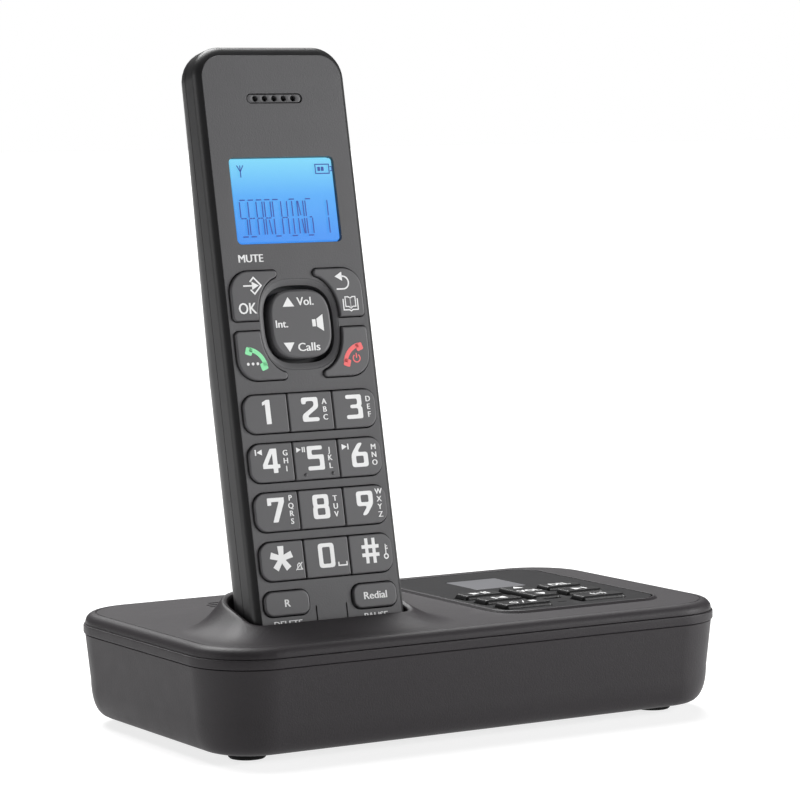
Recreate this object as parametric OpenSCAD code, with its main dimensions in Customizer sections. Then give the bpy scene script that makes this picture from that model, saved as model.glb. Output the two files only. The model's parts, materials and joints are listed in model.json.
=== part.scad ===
// Cordless telephone: a handset that stands in the cradle of a wide answering base.
// Origin: centre of the base's footprint, on the surface it stands on. +Z up, -Y is the front.
// The handset is drawn in its own frame (x across, y along its length from the bottom end,
// z out of its face) and then leaned back into the cradle by in_hand().

/* [Base] */
// Width of the base across its band
base_w = 170; // [166:1:176]
// Depth of the base across its band
base_d = 98; // [96:1:104]
// Height of the flat top above the table
base_top = 32.2; // [31.5:0.1:33]
// Corner radius of the band, seen from above
base_corner = 19; // [17:1:22]
// Wall thickness of the base housings
base_wall = 2.2; // [2:0.1:2.6]
// Height of the rubber feet below the housing
foot_h = 2; // [1.5:0.1:2.5]

/* [Handset] */
// Overall width of the handset
hand_w = 48; // [47.5:0.1:48.5]
// Overall length of the handset
hand_l = 173.8; // [172:0.2:175]
// Thickness of the handset over its lower half
hand_t = 19.5; // [19:0.1:20]
// Thickness of the handset at its top end
hand_top_t = 14.5; // [13:0.1:16]
// Lean of the handset back from upright
lean = 11.7; // [10:0.1:13]
// Place of the handset's middle along the base
hand_x = -39.5; // [-42:0.5:-38]
// Length of the handset that stands inside the cradle
seat_depth = 13; // [12:0.5:14]

/* [Keys] */
// Gap between a key and the edge of its opening
key_gap = 0.3; // [0.2:0.05:0.3]
// Height of the handset's keys above its face
key_proud = 0.8; // [0.3:0.1:0.8]
// Height of the base's keys above its panel
base_key_proud = 1.3; // [0.9:0.1:1.6]
// Spacing of the rows of digit keys
row_pitch = 13.56; // [13.4:0.02:13.8]
// Height of one digit key
digit_h = 10.68; // [10:0.02:11]

/* [Display] */
// Width of the handset's display window
screen_w = 33.2; // [31:0.2:34]
// Height of the handset's display window
screen_h = 24.3; // [22:0.1:25]

/* [Hidden] */

$fn = 32;
case_black = [0.16, 0.16, 0.17];
face_black = [0.24, 0.24, 0.25];
key_black = [0.20, 0.20, 0.21];
board_green = [0.10, 0.35, 0.20];
rubber_grey = [0.45, 0.45, 0.47];
metal = [0.80, 0.80, 0.82];
gold = [0.85, 0.70, 0.35];

// --- outlines -------------------------------------------------------------------------

// Points of an arc about (cx, cy) from angle a0 to a1
function arc(cx, cy, r, a0, a1, n = 6) =
    [for (i = [0:n]) let (a = a0 + (a1 - a0) * i / n) [cx + r * cos(a), cy + r * sin(a)]];

// Rectangle with four corner radii, in the order top right, top left, bottom left, bottom right
function corner_pts(x0, x1, y0, y1, r, n = 6) = concat(
    arc(x1 - r[0], y1 - r[0], r[0], 0, 90, n),
    arc(x0 + r[1], y1 - r[1], r[1], 90, 180, n),
    arc(x0 + r[2], y0 + r[2], r[2], 180, 270, n),
    arc(x1 - r[3], y0 + r[3], r[3], 270, 360, n));

// Superellipse with half sizes a and b and exponent e, from parameter t0 to t1 degrees
function squircle(a, b, e, t0, t1, n) = [for (i = [0:n])
    let (t = t0 + (t1 - t0) * i / n, c = cos(t), s = sin(t))
    [a * sign(c) * pow(abs(c), 2 / e), b * sign(s) * pow(abs(s), 2 / e)]];

// Plate with one corner radius, from z0 up to z1
module plate(x0, x1, y0, y1, r, z0, z1, n = 6) {
    translate([0, 0, z0])
        linear_extrude(z1 - z0)
            polygon(corner_pts(x0, x1, y0, y1, [r, r, r, r], n));
}

// Round post or hole, from z0 up to z1
module post(x, y, r, z0, z1) {
    translate([x, y, z0]) cylinder(r = r, h = z1 - z0);
}

// --- base dimensions --------------------------------------------------------------------

band_low = base_top - 5.8;      // lower seam
band_high = base_top - 3;       // upper seam
seam_step = 0.5;                // the housings stand this far inside the band
base_bottom = foot_h;
foot_x_left = -68.4;
foot_x_right = 66;
foot_y = 32.2;
foot_r = 5.3;
screw_x = 72;
screw_y = 22;
screw_r = 1.25;
screw_clear = 0.1;

// One level of the base's outline, set in from the band by inset
module base_level(inset, r, z0, z1) {
    plate(-base_w / 2 + inset, base_w / 2 - inset, -base_d / 2 + inset, base_d / 2 - inset,
        r, z0, z1, 8);
}

// --- control panel dimensions -------------------------------------------------------------

panel_x0 = 14.8;
panel_x1 = 68.4;
panel_y0 = -33.4;
panel_y1 = 37.8;
panel_r = 6.8;
panel_t = 1.6;
panel_top = base_top + 0.7;
panel_low = panel_top - panel_t;
panel_ledge = 1.1;
panel_opening_r = 3.2;
base_key_top = panel_top + base_key_proud;
base_key_h = 6.8;
base_key_pitch = 10.6;
base_flange = 0.6;
left_keys_y = -2.2;             // back edge of the first key in the left column
right_keys_y = 0.2;             // back edge of the first key in the right column
// Each key as [x0, x1, y0, y1]
play_box = [16.7, 30.2, left_keys_y - base_key_h, left_keys_y];
previous_box = [16.7, 30.2, play_box[2] - base_key_pitch, play_box[3] - base_key_pitch];
power_box = [16.7, 33, play_box[2] - 2 * base_key_pitch, play_box[3] - 2 * base_key_pitch];
delete_box = [46.5, 59.4, right_keys_y - base_key_h, right_keys_y];
next_box = [46.5, 59.4, delete_box[2] - base_key_pitch, delete_box[3] - base_key_pitch];
page_box = [43.9, 59.4, delete_box[2] - 2.1 * base_key_pitch, delete_box[3] - 2.1 * base_key_pitch];
push_boxes = [play_box, previous_box, power_box, delete_box, next_box, page_box];
volume_box = [33.5, 43.2, -19.2, 0.8];
base_key_r = 1.2;
window_box = [31.2, 49, 8, 26];
mic_x = 39;
mic_y = -25.6;
mat_top = 29.4;
mat_low = 28.4;
board_top = 27.7;
board_low = 26.1;

jack_x = 52;
line_x = 34;
jack_z = 15;
jack_back = base_d / 2 - 3.6;   // outer faces of the sockets, just inside the rear wall's skin
jack_leg_depth = 4.4;           // the power socket's leg stops short of the curved rear wall

speaker_x = hand_x;
speaker_y = 27;
speaker_r = 14;
slot_pitch = 3.2;
slot_half = 0.7;

// --- handset dimensions -------------------------------------------------------------------

face_inset = 1.9;               // the flat face stands this far inside the handset's outline
face_bevel = 2.2;
hand_corner = 9;
split_z = -8;                   // where the front and rear covers meet
cover_wall = 2;
back_round = 10.5;              // rounding along the sides of the back
end_round = 8;                  // and at both of its ends
taper_start = 82;               // the back is flat up to here, then runs in to the top end

rows_y = 62.7 + seat_depth;     // top edge of the first row of digits
row_half = 20.9;
key_split = 7.14;
nav_y = 81.95 + seat_depth;
screen_y = 116.95 + seat_depth;
slot_y = 145.8 + seat_depth;
recall_y0 = 1.7 + seat_depth;
recall_y1 = 8.5 + seat_depth;
key_foot = -2.9;                // underside of the handset's keys
key_flange_top = -2.15;
key_flange = 0.7;
nav_half = 9.7;
nav_gap = 1.3;                  // deep channel round the pad
nav_proud = 0.9;
nav_foot = -3.05;
hand_mat_top = -3.6;
hand_mat_low = -4.2;
hand_board_top = -5.2;
hand_board_low = -6.4;
bay_x = 11.4;
bay_y0 = 21.3;
bay_y1 = 72.7;
bay_wall = 1.5;
cell_r = 5.25;
cell_l = 44.5;
cell_z = -12.7;
door_x = 14;
door_y0 = 17;
door_y1 = 80;
door_t = 1.4;
door_travel = 4;
plate_x = 9;                    // charging plates, left and right of the middle
plate_z = -12;
plate_y = 0.9;                  // their outer faces, above the handset's bottom end
plate_t = 0.3;
plate_recess = plate_y + plate_t + 0.05;
hand_screws = [[-16, 154], [16, 154], [-17, 8], [17, 8]];
ring_y = 121;                   // middle of the handset's loudspeaker

// --- cradle dimensions --------------------------------------------------------------------

seat_y = -29.3 - seat_depth * sin(lean);
seat_z = 35.5 - seat_depth * cos(lean);
pocket_side = 1.3;              // room at each side of the handset
pocket_front = 0.7;
pocket_back = 0.8;
pocket_floor = -0.2;
pocket_thick = hand_t + pocket_front + pocket_back;
pocket_half = hand_w / 2 + pocket_side;
rim_slope = 15;                 // the rim climbs to the back, where it holds the handset
rim_front_y = -30;
rim_front_z = 35.5;
contact_r = 1.2;
contact_tip = 0.85;

// Puts the handset's own frame in the cradle
module in_hand() {
    translate([hand_x, seat_y, seat_z]) rotate([90 - lean, 0, 0]) children();
}

// Where a line at height w in front of the handset's face crosses the level z
function pocket_y(z, w) = seat_y + tan(lean) * (z - seat_z) - w / cos(lean);

// --- base housings ------------------------------------------------------------------------

module base_bottom_shell() {
    color(case_black) difference() {
        union() {
            difference() {
                hull() {
                    base_level(seam_step, base_corner - seam_step, band_low - 0.1, band_low);
                    base_level(1.9, base_corner - 1.6, 13, 13.1);
                    base_level(3.7, base_corner - 2.8, 6, 6.1);
                    base_level(8.4, base_corner - 6, base_bottom, base_bottom + 0.1);
                }
                hull() {
                    base_level(seam_step + base_wall, base_corner - 2.7, band_low, band_low + 1);
                    base_level(1.9 + base_wall, base_corner - 3.8, 13, 13.1);
                    base_level(9.4, base_corner - 7, base_bottom + base_wall,
                        base_bottom + base_wall + 0.1);
                }
            }
            for (sx = [-1, 1], sy = [-1, 1])
                post(sx * screw_x, sy * screw_y, 3, base_bottom + 1, band_low);
            for (y = [-28, 30])
                for (x = [20, 62])
                    post(x, y, 2.2, base_bottom + 1, board_low);
        }
        for (sx = [-1, 1], sy = [-1, 1]) {
            post(sx * screw_x, sy * screw_y, screw_r + screw_clear, base_bottom - 1, band_low + 1);
            post(sx * screw_x, sy * screw_y, 2.4, base_bottom - 1, base_bottom + 2);
        }
        for (x = [foot_x_left, foot_x_right], sy = [-1, 1])
            post(x, sy * foot_y, foot_r + 0.05, base_bottom - 1, base_bottom + 0.85);
        translate([jack_x, base_d / 2 - 12, jack_z]) rotate([-90, 0, 0]) cylinder(r = 4.1, h = 20);
        translate([line_x - 6.15, base_d / 2 - 12, jack_z - 6.15]) cube([12.3, 20, 12.3]);
    }
}

module base_trim_band() {
    color(case_black) difference() {
        base_level(0, base_corner, band_low, band_high);
        base_level(base_wall + seam_step, base_corner - 2.7, band_low - 1, band_high + 1);
    }
}

// One level of the flared collar round the cradle
module collar_level(z, grow) {
    plate(hand_x - pocket_half - grow, hand_x + pocket_half + grow,
        pocket_y(z, pocket_front) - grow, pocket_y(z, pocket_front - pocket_thick) + grow,
        3 + grow, z, z + 0.1);
}
module collar() {
    levels = [[-0.5, 13], [0.4, 9.5], [1.8, 6], [4.2, 3.4], [8.5, 1.8], [13, 1.6]];
    difference() {
        for (i = [0:len(levels) - 2]) hull() {
            collar_level(base_top + levels[i][0], levels[i][1]);
            collar_level(base_top + levels[i + 1][0], levels[i + 1][1]);
        }
        translate([-base_w / 2, rim_front_y, rim_front_z])
            rotate([rim_slope, 0, 0])
                translate([0, -40, 0])
                    cube([base_w, 100, 60]);
    }
}

// The space the handset stands in, in the handset's frame, grown by g
module pocket(g, low) {
    translate([0, low, 0]) rotate([-90, 0, 0])
        linear_extrude(80)
            polygon(corner_pts(-pocket_half - g, pocket_half + g, -pocket_front - g,
                hand_t + pocket_back + g, [9 + g, 9 + g, 3 + g, 3 + g]));
}

module base_top_cover() {
    color(case_black) difference() {
        union() {
            hull() {
                base_level(seam_step, base_corner - seam_step, band_high, band_high + 0.1);
                base_level(0.9, base_corner - 0.9, band_high + 1.4, band_high + 1.5);
                base_level(1.9, base_corner - 1.9, base_top - 0.55, base_top - 0.5);
                base_level(3.6, base_corner - 3.6, base_top - 0.1, base_top);
            }
            collar();
            intersection() {
                in_hand() pocket(base_wall - 0.2, pocket_floor - 2);
                translate([-base_w / 2, -base_d / 2, 10]) cube([base_w, base_d, base_top - 10]);
            }
            for (sx = [-1, 1], sy = [-1, 1])
                post(sx * screw_x, sy * screw_y, 3, band_low, base_top - 1);
        }
        difference() {
            base_level(base_wall + 1, base_corner - 3.2, band_high - 20, base_top - 2.4);
            in_hand() pocket(base_wall - 0.2, pocket_floor - 2);
            for (sx = [-1, 1], sy = [-1, 1])
                post(sx * screw_x, sy * screw_y, 3, band_low, base_top);
        }
        in_hand() pocket(0, pocket_floor);
        for (s = [-1, 1])
            in_hand() translate([s * plate_x, -10, plate_z])
                rotate([-90, 0, 0]) cylinder(r = contact_r + 0.2, h = 12);
        for (sx = [-1, 1], sy = [-1, 1])
            post(sx * screw_x, sy * screw_y, screw_r + screw_clear, band_low - 1, base_top - 3);
        plate(panel_x0 - 0.1, panel_x1 + 0.1, panel_y0 - 0.1, panel_y1 + 0.1, panel_r + 0.1,
            panel_low, base_top + 5);
        plate(panel_x0 + panel_ledge, panel_x1 - panel_ledge, panel_y0 + panel_ledge,
            panel_y1 - panel_ledge, panel_opening_r, 20, base_top + 5);
        for (i = [-2:2])
            let (half = sqrt(pow(2.7 * slot_pitch, 2) - pow(i * slot_pitch, 2)))
                plate(speaker_x - half, speaker_x + half, speaker_y + i * slot_pitch - slot_half,
                    speaker_y + i * slot_pitch + slot_half, 0.65, 20, base_top + 5, 3);
    }
}

module base_feet() {
    color([0.08, 0.08, 0.08])
        for (x = [foot_x_left, foot_x_right], sy = [-1, 1])
            post(x, sy * foot_y, foot_r, 0, base_bottom + 0.8);
}

module base_screws() {
    color(metal)
        for (sx = [-1, 1], sy = [-1, 1])
            difference() {
                union() {
                    post(sx * screw_x, sy * screw_y, screw_r, base_bottom + 1, base_top - 3.5);
                    post(sx * screw_x, sy * screw_y, 2.2, base_bottom + 0.4, base_bottom + 1.9);
                }
                for (a = [0, 90])
                    translate([sx * screw_x, sy * screw_y, base_bottom + 0.4])
                        rotate([0, 0, a]) cube([2.4, 0.5, 1.2], center = true);
            }
}

// --- base control panel -------------------------------------------------------------------

module base_control_panel() {
    color(face_black) difference() {
        plate(panel_x0, panel_x1, panel_y0, panel_y1, panel_r, panel_low, panel_top);
        for (b = concat(push_boxes, [volume_box]))
            plate(b[0] - key_gap, b[1] + key_gap, b[2] - key_gap, b[3] + key_gap,
                base_key_r + key_gap, panel_low - 1, panel_top + 1);
        plate(window_box[0], window_box[1], window_box[2], window_box[3], 0.8,
            panel_top - 1, panel_top + 1);
        plate(window_box[0] + 1, window_box[1] - 1, window_box[2] + 1, window_box[3] - 1, 0.6,
            panel_low - 1, panel_top + 1);
        plate(mic_x - 1.5, mic_x + 1.5, mic_y - 0.4, mic_y + 0.4, 0.35, panel_low - 1,
            panel_top + 1, 3);
    }
}

module base_display_window() {
    color([0.35, 0.35, 0.38, 0.7])
        plate(window_box[0] + 0.05, window_box[1] - 0.05, window_box[2] + 0.05,
            window_box[3] - 0.05, 0.75, panel_top - 1, panel_top - 0.1);
}

module base_display_module() {
    color([0.12, 0.12, 0.13])
        plate(window_box[0] + 1.2, window_box[1] - 1.2, window_box[2] + 1.2, window_box[3] - 1.2,
            0.5, board_top, panel_top - 1.1);
}

// A push key of the base, with the flange that keeps it under the panel
module base_push_key(b) {
    color(key_black) {
        plate(b[0], b[1], b[2], b[3], base_key_r, panel_low - 0.9, base_key_top);
        plate(b[0] - base_flange, b[1] + base_flange, b[2] - base_flange, b[3] + base_flange,
            base_key_r, panel_low - 0.9, panel_low - 0.1);
    }
}

module base_key_play() { base_push_key(play_box); }
module base_key_previous() { base_push_key(previous_box); }
module base_key_power_stop() { base_push_key(power_box); }
module base_key_delete() { base_push_key(delete_box); }
module base_key_next() { base_push_key(next_box); }
module base_key_page() { base_push_key(page_box); }

module base_volume_rocker() {
    b = volume_box;
    color(key_black) {
        plate(b[0], b[1], b[2], b[3], base_key_r, panel_low - 1.15, base_key_top);
        plate(b[0] - base_flange, b[1] + base_flange, b[2] - base_flange, b[3] + base_flange,
            base_key_r, panel_low - 1.15, panel_low - 0.65);
    }
}

module base_key_mat() {
    color(rubber_grey) {
        plate(16.8, 64, -33, 3, 2, mat_low, mat_top);
        for (b = push_boxes)
            post((b[0] + b[1]) / 2, (b[2] + b[3]) / 2, 2.2, board_top + 0.1, mat_low);
        for (y = [volume_box[2] + 3, volume_box[3] - 3])
            post((volume_box[0] + volume_box[1]) / 2, y, 2.2, board_top + 0.1, mat_low);
    }
}

module base_circuit_board() {
    color(board_green) {
        plate(16.5, 66.5, -35, 35, 2, board_low, board_top);
        translate([22, 12, board_low - 2]) cube([9, 9, 2]);
        translate([50, 14, board_low - 1.6]) cube([12, 8, 1.6]);
    }
}

module base_microphone() {
    color(metal) post(mic_x, mic_y, 3, panel_low - 1.7, panel_low - 0.05);
}

module base_loudspeaker() {
    color([0.3, 0.3, 0.3]) {
        post(speaker_x, speaker_y, speaker_r, base_top - 4.6, base_top - 2.5);
        post(speaker_x, speaker_y, 9, base_top - 7.6, base_top - 4.6);
        post(speaker_x, speaker_y, 7, base_top - 10.6, base_top - 7.6);
    }
}

module base_antenna() {
    color(gold) {
        translate([20, 35.1, board_low]) cube([40, 0.5, 8 - 4.6]);
        translate([20, 33, board_top]) cube([3, 2.6, 0.5]);
    }
}

module base_power_jack() {
    color([0.1, 0.1, 0.1]) difference() {
        union() {
            translate([jack_x, jack_back - 11, jack_z]) rotate([-90, 0, 0])
                cylinder(r = 4, h = 11);
            translate([jack_x - 4.5, jack_back - 11, base_bottom + base_wall])
                cube([9, jack_leg_depth, jack_z - base_bottom - base_wall]);
        }
        translate([jack_x, jack_back - 9, jack_z]) rotate([-90, 0, 0]) cylinder(r = 2.8, h = 10);
    }
    color(metal)
        translate([jack_x, jack_back - 9.5, jack_z]) rotate([-90, 0, 0]) cylinder(r = 1, h = 8);
}

module base_line_jack() {
    color([0.12, 0.12, 0.12]) difference() {
        translate([line_x - 6, jack_back - 13, jack_z - 6]) cube([12, 13, 12]);
        translate([line_x - 4.3, jack_back - 11.5, jack_z - 3.6]) cube([8.6, 12, 7.2]);
        translate([line_x - 2, jack_back - 11.5, jack_z - 4.8]) cube([4, 12, 2]);
    }
}

// A sprung pin that presses on one of the handset's charging plates
module charge_contact(side) {
    color(gold) in_hand() translate([side * plate_x, 0, plate_z]) rotate([-90, 0, 0]) {
        translate([0, 0, -7]) cylinder(r = contact_r, h = 7 + contact_tip - contact_r * 0.5);
        translate([0, 0, contact_tip - contact_r * 0.5])
            cylinder(r1 = contact_r, r2 = contact_r * 0.5, h = contact_r * 0.5, $fn = 24);
        translate([0, 0, -7]) cylinder(r = 2, h = 1);
    }
}
module base_charge_contact_left() { charge_contact(-1); }
module base_charge_contact_right() { charge_contact(1); }

// --- handset covers -----------------------------------------------------------------------

// The handset's outline, set in by inset, between two levels
module hand_level(inset, r, z0, z1) {
    plate(-hand_w / 2 + inset, hand_w / 2 - inset, inset, hand_l - inset, r, z0, z1, 7);
}

// Corner keys: the quarter beside the navigation pad, grown by g, mirrored by sx and sy
function corner_key(g, sx, sy) =
    let (a = 13 - g, b = 14.3 - g, e = 2.6, low = 1.45 - g, tip_r = 1.05 + g,
        t0 = asin(pow(low / b, e / 2)), t1 = acos(pow(7.2 / a, e / 2)),
        pts = concat(
            arc(row_half - 1.2, 1.45 + 1.2, 1.2 + g, 270, 360, 4),
            arc(row_half - 6, 15.25 - 6, 6 + g, 0, 90, 8),
            arc(6.9, 14.2, tip_r, 90, 260, 8),
            [for (p = squircle(a, b, e, t1, t0, 8)) p]))
    [for (p = pts) [sx * p[0], nav_y + sy * p[1]]];

// Digit keys: columns 0 to 2, rows 0 to 3. Only the row's outer corners are round.
function column_x(column) = [
    [-row_half, -key_split - 0.15],
    [-key_split + 0.15, key_split - 0.15],
    [key_split + 0.15, row_half]][column];
function row_top(row) = rows_y - row * row_pitch;

function recall_x(side) = side < 0 ? [-21, -7] : [6.9, 20.9];

module key_openings() {
    translate([0, 0, -5]) linear_extrude(10) {
        for (sx = [-1, 1], sy = [-1, 1]) polygon(corner_key(key_gap, sx, sy));
        translate([0, nav_y])
            polygon(squircle(nav_half + nav_gap, nav_half + nav_gap, 3, 0, 350, 35));
        for (row = [0:3])
            polygon(corner_pts(-row_half - key_gap, row_half + key_gap,
                row_top(row) - digit_h - key_gap, row_top(row) + key_gap,
                [3.7, 3.7, 3.7, 3.7]));
        for (side = [-1, 1])
            polygon(corner_pts(recall_x(side)[0] - key_gap, recall_x(side)[1] + key_gap,
                recall_y0 - key_gap, recall_y1 + key_gap, [2.8, 2.8, 2.8, 2.8]));
    }
}

module handset_front_cover() {
    color(face_black) in_hand() difference() {
        union() {
            difference() {
                hull() {
                    hand_level(face_inset, 6.4, -0.1, 0);
                    hand_level(0.55, 8.4, -1, -0.9);
                    hand_level(0, hand_corner, split_z, -face_bevel);
                }
                hand_level(cover_wall, hand_corner - cover_wall, split_z - 1, -cover_wall);
            }
            for (s = hand_screws) post(s[0], s[1], 2.5, split_z + 0.05, -1);
        }
        key_openings();
        translate([0, nav_y, -0.5]) linear_extrude(2) polygon(squircle(12.4, 12.8, 2.8, 0, 350, 35));
        plate(-screen_w / 2, screen_w / 2, screen_y - screen_h / 2, screen_y + screen_h / 2, 1.4,
            -5, 1);
        plate(-8.85, 8.85, slot_y - 1.4, slot_y + 1.4, 1.35, -0.6, 1);
        for (i = [-2:2]) post(i * 3.02, slot_y, 0.85, -5, 1);
        post(0, 9, 0.6, -5, 1);
        for (s = [-1, 1]) translate([s * 4.8 - 0.2, 5, -0.35]) cube([0.4, 11.8, 1]);
        for (s = hand_screws) post(s[0], s[1], screw_r + screw_clear, split_z - 1, -1.6);
        for (s = [-1, 1])
            translate([s * plate_x - 3, -1, plate_z]) cube([6, 1 + plate_recess, 10]);
    }
}

// The rear body between the split and the back, set in by inset
module rear_form(inset) {
    r = back_round - inset;
    side = hand_w / 2 - back_round;
    end_r = end_round - inset;
    end_side = hand_w / 2 - end_round - 1;
    intersection() {
        hull() {
            hand_level(inset, hand_corner - inset, split_z - 0.1, split_z);
            for (sx = [-1, 1]) {
                translate([sx * side, back_round, -hand_t + back_round]) sphere(r = r);
                translate([sx * side, taper_start, -hand_t + back_round]) sphere(r = r);
                translate([sx * side, end_round, -hand_t + end_round]) sphere(r = end_r);
                translate([sx * end_side, hand_l - end_round - 1, -hand_top_t + end_round])
                    sphere(r = end_r);
            }
        }
        translate([-hand_w, -1, -2 * hand_t]) cube([2 * hand_w, hand_l + 2, 2 * hand_t + split_z]);
    }
}

module handset_rear_cover() {
    color(case_black) in_hand() difference() {
        union() {
            difference() {
                rear_form(0);
                difference() {
                    rear_form(cover_wall - 0.2);
                    for (s = hand_screws) post(s[0], s[1], 2.6, -hand_t, split_z + 1);
                }
            }
            plate(-bay_x - bay_wall, bay_x + bay_wall, bay_y0 - bay_wall, bay_y1 + bay_wall, 0.5,
                -hand_t + door_t + 0.05, hand_board_low - 0.2, 2);
            plate(-door_x - 1.2, door_x + 1.2, door_y0 - door_travel - 1.4, door_y1 + 1.4, 1,
                -hand_t + 0.4, -hand_t + door_t + 1.4, 2);
        }
        plate(-bay_x, bay_x, bay_y0, bay_y1, 0.4, -hand_t - 1, hand_board_low - 0.9, 2);
        plate(-door_x - 0.15, door_x + 0.15, door_y0 - door_travel - 0.2, door_y1 + 0.15, 1.5,
            -hand_t - 1, -hand_t + door_t + 0.05);
        for (s = hand_screws) {
            post(s[0], s[1], screw_r + screw_clear, -hand_t - 1, split_z + 1);
            post(s[0], s[1], 2.4, -hand_t - 1, screw_seat(s[1]));
        }
        for (i = [-2:2])
            plate(-6, 6, ring_y + i * 2.8 - 0.6, ring_y + i * 2.8 + 0.6, 0.55, -hand_t - 1, -14, 3);
        for (s = [-1, 1])
            translate([s * plate_x - 3, -1, plate_z - 3]) cube([6, 1 + plate_recess, 20]);
    }
}
// Level that a screw's head sits on, for a screw at y along the handset
function screw_seat(y) = y > 100 ? -12.2 : -hand_t + 6.5;

module handset_battery_door() {
    color(case_black) in_hand() difference() {
        plate(-door_x, door_x, door_y0, door_y1, 1.4, -hand_t, -hand_t + door_t);
        for (i = [0:4])
            translate([-5, door_y1 - 9 + i * 1.3, -hand_t - 0.6]) cube([10, 0.6, 1]);
    }
}

module handset_screws() {
    color(metal) in_hand()
        for (s = hand_screws) {
            post(s[0], s[1], screw_r, screw_seat(s[1]) - 0.1, -2.4);
            post(s[0], s[1], 2.2, screw_seat(s[1]) - 1.5, screw_seat(s[1]) - 0.05);
        }
}

// --- handset display and boards -------------------------------------------------------------

module handset_display_lens() {
    color([0.75, 0.85, 0.95, 0.4]) in_hand()
        plate(-screen_w / 2 + 0.05, screen_w / 2 - 0.05, screen_y - screen_h / 2 + 0.05,
            screen_y + screen_h / 2 - 0.05, 1.3, -1.4, -0.3);
}

module handset_display_module() {
    color([0.35, 0.62, 1.0]) in_hand() {
        plate(-18.5, 18.5, screen_y - 13.6, screen_y + 13.6, 1, -5.1, -2.1);
        plate(-16.2, 16.2, screen_y - 11.8, screen_y + 11.8, 1, -2.1, -1.5);
    }
}

module handset_key_mat() {
    color(rubber_grey) in_hand() {
        plate(-21.4, 21.4, 13.4, 111.5, 2, hand_mat_low, hand_mat_top);
        for (row = [0:3], column = [0:2])
            let (x = column_x(column))
                post((x[0] + x[1]) / 2, row_top(row) - digit_h / 2, 2.4, hand_board_top + 0.1,
                    hand_mat_low);
        for (sx = [-1, 1], sy = [-1, 1])
            post(sx * 16, nav_y + sy * 8.5, 2.4, hand_board_top + 0.1, hand_mat_low);
        for (a = [0:90:270])
            post(7.5 * cos(a), nav_y + 7.5 * sin(a), 1.8, hand_board_top + 0.1, hand_mat_low);
    }
}

module handset_circuit_board() {
    color(board_green) in_hand() {
        plate(-21.2, 21.2, 12.5, 146.5, 1.5, hand_board_low, hand_board_top);
        translate([-6, 84, hand_board_low - 1.2]) cube([12, 12, 1.2]);
        translate([7, 132, hand_board_low - 1]) cube([8, 8, 1]);
    }
}

module handset_antenna() {
    color(gold) in_hand() {
        translate([-14, 147.2, -7.2]) cube([26, 0.5, 3.4]);
        translate([-14, 145.5, hand_board_top]) cube([3, 2.2, 0.4]);
    }
}

module handset_earpiece() {
    color([0.3, 0.3, 0.3]) in_hand() {
        post(0, slot_y, 9, -4.2, -2.1);
        post(0, slot_y, 6, -6.6, -4.2);
    }
}

module handset_loudspeaker() {
    color([0.3, 0.3, 0.3]) in_hand() {
        post(0, ring_y, 9.5, -14.2, -11.6);
        post(0, ring_y, 6, -11.6, -8.4);
    }
}

module handset_microphone() {
    color(metal) in_hand() post(0, 9, 2, -4.5, -2.05);
}

// --- battery bay ----------------------------------------------------------------------------

module handset_batteries() {
    color([0.25, 0.55, 0.30]) in_hand()
        for (s = [-1, 1])
            translate([s * (cell_r + 0.25), (bay_y0 + bay_y1 - cell_l) / 2, cell_z])
                rotate([-90, 0, 0]) {
                    cylinder(r = cell_r, h = cell_l - 1);
                    translate([0, 0, cell_l - 1]) cylinder(r = 1.9, h = 1);
                }
}

module handset_battery_contacts() {
    near = (bay_y0 + bay_y1 - cell_l) / 2;
    color(metal) in_hand()
        for (s = [-1, 1])
            translate([s * (cell_r + 0.25), 0, cell_z]) {
                translate([-4.2, bay_y0 + 0.05, -4]) cube([8.4, 0.4, 8]);
                translate([0, bay_y0 + 0.45, 0]) rotate([-90, 0, 0])
                    cylinder(r = 2.4, h = near - bay_y0 - 0.5);
                translate([-4.2, bay_y1 - 0.45, -4]) cube([8.4, 0.4, 8]);
                translate([0, bay_y1 - near + bay_y0 + 0.05, 0]) rotate([-90, 0, 0])
                    cylinder(r = 1.6, h = near - bay_y0 - 0.5);
            }
}

module handset_charge_plates() {
    color(gold) in_hand()
        for (s = [-1, 1])
            translate([s * plate_x - 2.95, plate_y, plate_z - 2.95]) cube([5.9, plate_t, 8]);
}

// --- handset keys ---------------------------------------------------------------------------

module key_body(pts) {
    translate([0, 0, key_foot]) linear_extrude(key_proud - key_foot) polygon(pts);
}

module corner_key_cap(sx, sy) {
    color(key_black) in_hand() {
        key_body(corner_key(0, sx, sy));
        translate([sx > 0 ? 12 : -21.7, sy > 0 ? nav_y + 3 : nav_y - 14, key_foot])
            cube([9.7, 11, key_flange_top - key_foot]);
    }
}

module key_ok() { corner_key_cap(-1, 1); }
module key_phonebook() { corner_key_cap(1, 1); }
module key_talk() { corner_key_cap(-1, -1); }
module key_end() { corner_key_cap(1, -1); }

module digit_key(column, row) {
    x = column_x(column);
    y1 = row_top(row);
    left = column == 0 ? 3.4 : 0.3;
    right = column == 2 ? 3.4 : 0.3;
    color(key_black) in_hand() {
        key_body(corner_pts(x[0], x[1], y1 - digit_h, y1, [right, left, left, right]));
        translate([x[0] + left, y1 - digit_h - key_flange, key_foot])
            cube([x[1] - x[0] - left - right, digit_h + 2 * key_flange, key_flange_top - key_foot]);
    }
}

module key_1() { digit_key(0, 0); }
module key_2() { digit_key(1, 0); }
module key_3() { digit_key(2, 0); }
module key_4() { digit_key(0, 1); }
module key_5() { digit_key(1, 1); }
module key_6() { digit_key(2, 1); }
module key_7() { digit_key(0, 2); }
module key_8() { digit_key(1, 2); }
module key_9() { digit_key(2, 2); }
module key_star() { digit_key(0, 3); }
module key_0() { digit_key(1, 3); }
module key_hash() { digit_key(2, 3); }

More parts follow.
